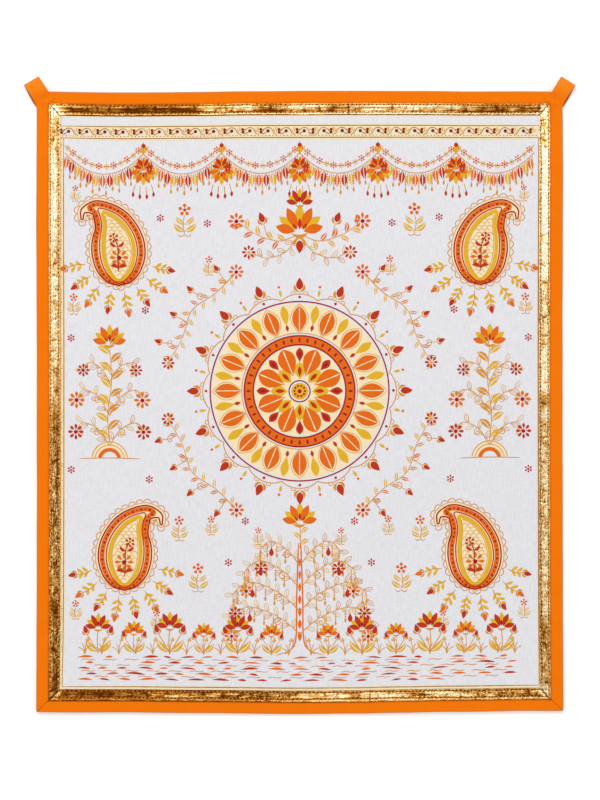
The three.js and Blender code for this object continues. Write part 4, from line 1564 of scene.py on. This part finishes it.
def binding(edge, settings, material):
    """One strip of orange binding folded round an edge of the cloth. Its face is gently
    uneven, puckered at the top corners and drawn in along the bottom mitres, which carry
    painted shade, darker towards their slightly rounded outer corners. It has a painted
    shadow along the ribbon's edge, painted shade in the puckers' furrows and along its
    rounded fold, and a painted highlight on the puckers' ridges."""
    length = RUNS[edge].length
    mitred = ["bottom" in (edge, other) for other in (BEFORE[edge], AFTER[edge])]
    share = (stations(length, settings.step / MM) / length)[:, None]
    layers, values = [], []
    for inset, depth in binding_section(EDGES[edge].binding):
        start, end = binding_cuts(edge, inset)
        along = lerp(start, end, share)
        from_cut, from_corner = [along - start, end - along], [along, length - along]
        drawn = sum(bell(gap, 0.55) * cut for gap, cut in zip(from_cut, mitred))
        rounded = sum(bell(gap, 1.6) * cut for gap, cut in zip(from_corner, mitred))
        near_edge = bell(inset, 2.0)
        wavy = FACE_WAVES * noise(along / 31.0, inset / 9.0, 21)
        wavy = wavy + FACE_LUMPS * noise(along / 9.0, inset / 5.0, 22)
        moved = inset + near_edge * (MITRE_ROUND * rounded + EDGE_WAVES * noise(along / 47.0, 3.5, 23))
        x, z = pattern(edge, along, moved)
        front = smoothstep(BINDING_FACE / 2, BINDING_FACE, depth)
        crease = front * pucker(x, z)
        face = depth + front * wavy + crease - MITRE_DRAWN * drawn * (2 * depth / BINDING_FACE - 1)
        if edge == "top":
            for gap, other in zip(from_cut, SIDES):
                face = face - UNDER_DIP * front * (1 - smoothstep(-0.3, 0.3, gap - UNDER_LOOP[other]))
        layers.append(hang(x, z, face))
        # Painted shadow of the ribbon's edge on the tape, painted shade in the mitres' creases (darker
        # towards the outer corners) and in the puckers' furrows, a painted highlight on their ridges, and
        # painted shade along the rounded fold.
        ribbon_shadow = bell(inset - EDGES[edge].foil_from + 0.25, 0.6)
        mitre_crease_shade = drawn * (0.4 + 0.5 * np.exp(-inset / 4.0))
        values.append({
            "rim": np.clip(0.75 * ribbon_shadow + mitre_crease_shade + 0.5 * rounded * near_edge + shaded(crease), 0, 1),
            "worn": lit(crease), "fold": TAPE_FOLD_SHADE * bell(moved, 1.0),
        })
    work = Work()
    work.add_sheet(*layers, **values[0])
    piece = work.make(f"tape_{edge}", material, chart_rows=10)
    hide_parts(f"binding_{edge}")
    return piece


def loop_route(length, step):
    """The tape's middle line in a loop, as shares of its length from the seam to the tip
    and depths: flat on the binding, lifting off, round the tip, and flat on the wall."""
    face_depth = BINDING_FACE - TAPE / 2
    radius = LOOP_TIP - TAPE / 2
    tip_start = 1 - LOOP_TIP / length
    out = np.linspace(0, tip_start, round(length / step))
    lifted = lerp(face_depth, LOOP_TIP + radius, smoothstep(LOOP_OPENS, LOOP_OPEN, out))
    turn = np.linspace(0, np.pi, 18)[1:-1]
    home = out[::-1]
    along = np.concatenate([out, tip_start + np.sin(turn) * radius / length, home])
    depth = np.concatenate([lifted, LOOP_TIP + np.cos(turn) * radius, np.full(len(home), TAPE / 2)])
    return along, depth


def loop_corners(name):
    """Where a loop's corners hang, as complex numbers: its outer foot, its tip's outer
    and inner corner, its corner at the ribbon, and where its inner side crosses the
    cloth's top edge."""
    out, up = np.array([
        LOOP_FOOT, LOOP_OUTER[name], LOOP_INNER[name],
        (-EDGES[name].binding, -EDGES["top"].binding), (-LOOP_WIDTH[name], 0),
    ]).T
    hung = hang(SIDES[name] * (WIDTH / 2 + out), up, 0)
    return hung[:, 0] + 1j * hung[:, 2]


def loop_values(along, across, length, top_share, crease):
    """The values of a loop's finish. Its hidden layer is dark with painted shade, it is
    paler towards its tip, and the tip and both sides of its face carry painted shade
    where the tape turns over. The puckers give painted shade in their furrows and a
    painted highlight on their ridges."""
    front = (np.arange(len(along)) < len(along) // 2)[:, None]
    along = along[:, None]
    outer_side = bell(across, 0.05) * smoothstep(0.1, 0.4, along)
    inner_side = bell(1 - across, 0.05) * smoothstep(top_share, top_share + 0.15, along)
    tip = bell((1 - along) * length, 0.9)
    return {
        "rim": np.where(front, shaded(crease), HIDDEN_SHADE),
        "worn": np.clip(smoothstep(0.3, 0.75, along) + lit(crease), 0, 1),
        "fold": TAPE_FOLD_SHADE * np.where(front, np.clip(outer_side + inner_side + tip, 0, 1), 0),
    }


def loop(name, settings, material):
    """A corner loop: the side tape carried on past the corner, folded back at its tip."""
    foot, tip_outer, tip_inner, ribbon_corner, top_corner = loop_corners(name)
    length = abs((tip_outer + tip_inner) / 2 - (foot + ribbon_corner) / 2)
    outside = (tip_outer - tip_inner) / abs(tip_outer - tip_inner)
    top_share = abs(top_corner - ribbon_corner) / length
    along, depth = loop_route(length, settings.step / MM / 2)
    heading = np.stack([np.gradient(along) * length, np.gradient(depth)])[..., None]
    heading /= np.linalg.norm(heading, axis=0)
    across = np.linspace(0, 1, 15)
    layers = []
    for sign in (1, -1):
        shift = sign * TAPE / 2 * np.sqrt(1 - (2 * across - 1) ** 8 * 0.98)
        share = along[:, None] - heading[1] * shift / length
        deep = depth[:, None] + heading[0] * shift
        outer = lerp(foot, tip_outer, share)
        below = lerp(ribbon_corner, top_corner, share / top_share)
        above = lerp(top_corner, tip_inner, (share - top_share) / (1 - top_share))
        inner = np.where(share < top_share, below, above)
        hidden = np.clip(1 - deep / (2 * LOOP_TIP), 0, 1)
        turned = (np.arange(len(along)) >= len(along) // 2 - 8)[:, None]
        swell = np.sin(np.pi * np.clip(share, 0, 1) ** 0.65) ** 1.2
        outer = outer + outside * np.where(turned, LOOP_BOW * hidden, -LOOP_HOLLOW) * swell
        flat = lerp(outer, inner, across)
        soft = LOOP_SOFT * noise(share * 4.0, across * 2.0, 31 + SIDES[name]) * smoothstep(0.2, 0.5, share)
        camber = LOOP_CAMBER * (1 - (2 * across - 1) ** 2) * smoothstep(LOOP_OPENS, LOOP_OPEN, share)
        puckered = pucker(flat.real, flat.imag) * smoothstep(0, 2, 3 - share * 3)
        face = deep + soft * np.sign(heading[0]) + np.where(turned, 0, camber + puckered)
        layers.append(np.stack([flat.real, -face, flat.imag], axis=-1))
    crease = pucker(layers[0][..., 0], layers[0][..., 2])
    work = Work()
    work.add_sheet(*layers, **loop_values(along, across, length, top_share, crease))
    piece = work.make(f"tape_loop_{name}", material, chart_rows=2)
    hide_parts(f"loop_{name}")
    return piece


# ---- settings


def a_colour(name, description, default):
    """A colour that a user can change."""
    return FloatVectorProperty(
        name=name, description=description, default=default, subtype="COLOR", min=0, max=1,
    )


def a_length(name, description, default):
    """A length that a user can change, in metres."""
    return FloatProperty(name=name, description=description, default=default, unit="LENGTH")


class ClothSettings(PropertyGroup):
    """The printed cotton panel and its inks."""

    columns: IntProperty(name="Columns", description="Faces across the panel", default=186, min=24)
    rows: IntProperty(name="Rows", description="Faces down the panel", default=220, min=28)
    thickness: a_length(name="Thickness", description="Thickness of the cotton", default=0.0006)
    thread: a_length(name="Thread", description="From one thread of the weave to the next", default=0.00052)
    colour: a_colour(
        name="Cotton", description="Colour of the bleached cotton", default=(0.81, 0.798, 0.826),
    )
    cream: a_colour(
        name="Cream ink", description="Pale ink of the border strips", default=(0.99, 0.82, 0.52),
    )
    yellow: a_colour(name="Yellow ink", description="Mustard yellow fills", default=(0.83, 0.47, 0.018))
    orange: a_colour(name="Orange ink", description="Orange fills", default=(0.84, 0.150, 0.0005))
    gold: a_colour(name="Gold ink", description="Golden brown line", default=(0.76, 0.31, 0.02))
    crimson: a_colour(
        name="Crimson ink", description="Dark outlines and berries", default=(0.39, 0.003, 0.013),
    )
    brown: a_colour(name="Brown ink", description="Lines of the narrow band", default=(0.42, 0.205, 0.065))
    maroon: a_colour(
        name="Maroon ink", description="Berries of the narrow band", default=(0.15, 0.022, 0.002),
    )
    red: a_colour(name="Red ink", description="Red fills", default=(0.56, 0.031, 0.001))


class GotaSettings(PropertyGroup):
    """The gold ribbon and its stitches."""

    foil_step: a_length(name="Foil step", description="Size of the foil's faces", default=0.00078)
    stitch_pitch: a_length(name="Stitch pitch", description="From one stitch to the next", default=0.0042)
    stitch_length: a_length(name="Stitch length", description="Length of thread that shows", default=0.0028)
    thread: a_length(name="Thread", description="Thickness of the sewing thread", default=0.0007)
    thread_colour: a_colour(
        name="Thread colour", description="Golden brown thread", default=(0.68, 0.33, 0.075),
    )
    # The foil's tones, from darkest to palest, are painted reflection and shade.
    dark: a_colour(name="Darkest foil", description="Deep creases", default=(0.110, 0.023, 0.0004))
    brown: a_colour(name="Brown foil", description="Darker stretches", default=(0.205, 0.058, 0.003))
    bronze: a_colour(name="Bronze foil", description="Between dull and bright", default=(0.42, 0.175, 0.026))
    gold: a_colour(name="Gold foil", description="Bright gold", default=(0.70, 0.39, 0.120))
    pale: a_colour(name="Palest foil", description="Smooth pale gold", default=(0.96, 0.86, 0.60))
    # Painted reflections: the crumpled foil's own deeper colour, and the orange cotton at the foil's outer
    # edge.
    crumpled: a_colour(
        name="Crumpled foil", description="Tints the foil where it is most crumpled",
        default=(1.0, 0.94, 0.73),
    )
    near_tape: a_colour(
        name="Beside the tape", description="Tints the foil's outer edge", default=(1.0, 0.60, 0.28),
    )


class TapeSettings(PropertyGroup):
    """The orange binding and loops."""

    step: a_length(name="Step", description="Length of the tape's faces", default=0.002)
    colour: a_colour(name="Orange cotton", description="Colour of the tape", default=(0.94, 0.198, 0.002))
    # The paler cotton of the painted highlights on the puckers' ridges and of the loops' tips.
    worn: a_colour(
        name="Paler and lit cotton", description="Colour of the tape in the loops", default=(0.96, 0.245, 0.010),
    )
    # Painted shade along the tape's rounded folds.
    fold: a_colour(
        name="Shaded folds", description="Colour along the tape's folded edges", default=(0.48, 0.235, 0.075),
    )
    # Painted shade: the ribbon's shadow on the tape, the mitres' creases, the puckers' furrows and the
    # loops' hidden layer.
    rim: a_colour(
        name="Painted shade", description="Colour along the tape's seams and in its furrows",
        default=(0.27, 0.062, 0.004),
    )


class StageSettings(PropertyGroup):
    """The camera, wall, floor and light."""

    distance: a_length(name="Distance", description="From the camera to the cloth", default=2.6)
    tall: a_length(
        name="View height", description="What the camera sees from top to bottom at the cloth",
        default=0.8514,
    )
    aim_x: a_length(name="Aim across", description="Middle of the view", default=0.0006)
    aim_z: a_length(name="Aim up", description="Middle of the view", default=-0.3281)
    floor_drop: a_length(name="Floor", description="From the cloth's hem down to the floor", default=0.14)
    wall_gap: a_length(name="Wall gap", description="From the back of the cloth to the wall", default=0.001)
    fill: FloatProperty(name="Fill light", description="Level of the soft light all round", default=0.75)
    lamp: FloatProperty(name="Lamp", description="Power of the soft lamp", default=48.4, unit="POWER")
    lamp_size: a_length(name="Lamp size", description="Width of the soft lamp", default=1.3)


# ---- stage

WHITE = (1.0, 1.0, 1.0)
LAMP_AT = (-0.62, -3.5, 1.55)    # where the lamp stands, in metres
LAMP_AIM = (0, 0, -0.33)         # and the middle of the cloth, at which it points


def make_camera(settings):
    """A camera square to the cloth; its sensor's longer side is upright."""
    data = bpy.data.cameras.new("camera")
    data.sensor_width = 36.0
    data.lens = data.sensor_width * settings.distance / settings.tall
    camera = bpy.data.objects.new("camera", data)
    camera.location = (settings.aim_x, -settings.distance, settings.aim_z)
    camera.rotation_euler = (math.pi / 2, 0, 0)
    bpy.context.scene.collection.objects.link(camera)
    bpy.context.scene.camera = camera


def plane(name, corners, material):
    """A flat backdrop that only the camera sees, so that it takes shadows and gives
    neither light nor colour to the object."""
    mesh = bpy.data.meshes.new(name)
    mesh.from_pydata(corners, [], [(0, 1, 2, 3)])
    mesh.materials.append(material)
    piece = bpy.data.objects.new(name, mesh)
    bpy.context.scene.collection.objects.link(piece)
    piece.visible_diffuse = False
    piece.visible_glossy = False
    piece.visible_transmission = False
    piece.visible_shadow = False


def backdrop_finish():
    """Matt white that glows a little, and is clear from behind."""
    finish = Finish("pale_backdrop")
    finish.tree.nodes.remove(finish.surface)
    matt = finish.node("ShaderNodeBsdfDiffuse", {}, {"Color": colour((0.9, 0.9, 0.9))})
    glow = finish.node("ShaderNodeEmission", {}, {"Color": colour(WHITE), "Strength": 0.2})
    front = finish.node("ShaderNodeAddShader", {}, {0: matt, 1: glow})
    clear = finish.node("ShaderNodeBsdfTransparent", {}, {})
    behind = finish.node("ShaderNodeNewGeometry", {}, {}, "Backfacing")
    sides = finish.node("ShaderNodeMixShader", {}, {0: behind, 1: front, 2: clear})
    finish.join(finish.tree.nodes["Material Output"].inputs["Surface"], sides)
    return finish.material


def make_surroundings(settings):
    """A white world, a wall just behind the cloth and a floor below it."""
    low, high = CAD_BOX
    wall, floor = high.y + settings.wall_gap, low.z - settings.floor_drop
    reach, tall, near = 6.0, 5.0, -6.0
    material = backdrop_finish()
    for name, (y, z), (far_y, far_z) in (
        ("wall", (wall, floor), (wall, tall)), ("floor", (near, floor), (wall, floor)),
    ):
        plane(name, [(-reach, y, z), (reach, y, z), (reach, far_y, far_z), (-reach, far_y, far_z)], material)

    world = bpy.data.worlds.new("studio")
    bpy.context.scene.world = world
    world.use_nodes = True
    nodes = Nodes(world.node_tree)
    direction = nodes.node("ShaderNodeTexCoord", {}, {}, "Generated")
    depth = nodes.node("ShaderNodeSeparateXYZ", {}, {0: direction}, "Y")
    # What the foil mirrors: white all round, but for a dark ring between the lit
    # front of the room and the backdrop.
    studio = nodes.ramp(depth * 0.5 + 0.5, (
        (0.0, WHITE), (0.035, WHITE), (0.16, (0.28, 0.28, 0.30)), (0.40, (0.22, 0.22, 0.24)),
        (0.56, WHITE), (1.0, WHITE),
    ))
    camera, glossy, transmitted = (
        nodes.node("ShaderNodeLightPath", {}, {}, f"Is {ray} Ray")
        for ray in ("Camera", "Glossy", "Transmission")
    )
    lit_by = nodes.mix(glossy, colour(3 * (settings.fill,)), studio)
    seen = nodes.mix(camera.greatest(transmitted), lit_by, colour(WHITE))
    nodes.join(world.node_tree.nodes["Background"].inputs["Color"], seen)


def make_lamp(settings):
    """A large soft lamp, above and to the left of the camera."""
    data = bpy.data.lights.new("lamp", "AREA")
    data.shape = "DISK"
    data.size = settings.lamp_size
    data.energy = settings.lamp
    lamp = bpy.data.objects.new("lamp", data)
    lamp.location = LAMP_AT
    aim = np.array(LAMP_AIM) - np.array(lamp.location)
    lamp.rotation_euler = (
        math.atan2(math.hypot(aim[0], aim[1]), -aim[2]), 0, math.atan2(aim[1], aim[0]) - math.pi / 2,
    )
    bpy.context.scene.collection.objects.link(lamp)


# ---- operators


class PICHWAI_OT_panel(Operator):
    """Hang the cotton panel"""

    bl_idname = "pichwai.panel"
    bl_label = "Cotton panel"

    def execute(self, context):
        settings = context.scene.pichwai_cloth
        panel(settings, cotton_finish(settings))
        return {"FINISHED"}


class PICHWAI_OT_print(Operator):
    """Print the border and the field on the panel, one piece for each ink"""

    bl_idname = "pichwai.print"
    bl_label = "Print"

    def execute(self, context):
        settings = context.scene.pichwai_cloth
        strokes = design()
        for ink in INKS:
            own = [stroke for stroke in strokes if stroke.ink == ink]
            ink_sheet(ink, own, ink_finish(ink, settings))
        cloth = bpy.data.objects["panel_cloth"]
        return {"FINISHED"}


class PICHWAI_OT_gota(Operator):
    """Sew the gold ribbon along the four edges"""

    bl_idname = "pichwai.gota"
    bl_label = "Gota ribbon"

    def execute(self, context):
        settings = context.scene.pichwai_gota
        foil, thread = foil_finish(settings), thread_finish(settings)
        for edge in EDGES:
            ribbon = gota(edge, settings, foil)
            sewing = stitches(edge, settings, thread)
            flat = (foil_width(edge) * MM, RUNS[edge].length * MM)
        return {"FINISHED"}


class PICHWAI_OT_binding(Operator):
    """Fold the orange binding round the four edges, with a loop at each top corner"""

    bl_idname = "pichwai.binding"
    bl_label = "Binding and loops"

    def execute(self, context):
        settings = context.scene.pichwai_tape
        material = tape_finish(settings)
        for edge in EDGES:
            piece = binding(edge, settings, material)
            flat = ((2 * (EDGES[edge].binding + TUCK) + BINDING_FACE) * MM, RUNS[edge].length * MM)
        for name in SIDES:
            piece = loop(name, settings, material)
        return {"FINISHED"}


class PICHWAI_OT_stage(Operator):
    """Set up the camera, the wall, the floor and the soft light"""

    bl_idname = "pichwai.stage"
    bl_label = "Stage"

    def execute(self, context):
        settings = context.scene.pichwai_stage
        context.scene.view_settings.view_transform = "Standard"
        make_camera(settings)
        make_surroundings(settings)
        make_lamp(settings)
        return {"FINISHED"}


class PICHWAI_PT_pieces(Panel):
    """The pieces of the pichwai, in the order they are made"""

    bl_label = "Pichwai"
    bl_space_type = "VIEW_3D"
    bl_region_type = "UI"
    bl_category = "Pichwai"

    def draw(self, context):
        for operator in OPERATORS:
            self.layout.operator(operator.bl_idname)
        for group in GROUPS:
            box = self.layout.box()
            settings = getattr(context.scene, group)
            for name in settings.__annotations__:
                box.prop(settings, name)


OPERATORS = (
    PICHWAI_OT_panel, PICHWAI_OT_print, PICHWAI_OT_gota, PICHWAI_OT_binding, PICHWAI_OT_stage,
)
GROUPS = {
    "pichwai_cloth": ClothSettings,
    "pichwai_gota": GotaSettings,
    "pichwai_tape": TapeSettings,
    "pichwai_stage": StageSettings,
}
CLASSES = (*GROUPS.values(), *OPERATORS, PICHWAI_PT_pieces)


def register():
    for part in CLASSES:
        bpy.utils.register_class(part)
    for name, group in GROUPS.items():
        setattr(bpy.types.Scene, name, PointerProperty(type=group))


def unregister():
    for name in GROUPS:
        delattr(bpy.types.Scene, name)
    for part in reversed(CLASSES):
        bpy.utils.unregister_class(part)


def main():
    register()
    for operator in OPERATORS:
        group, name = operator.bl_idname.split(".")
        getattr(getattr(bpy.ops, group), name)()


if __name__ == "__main__":
    main()
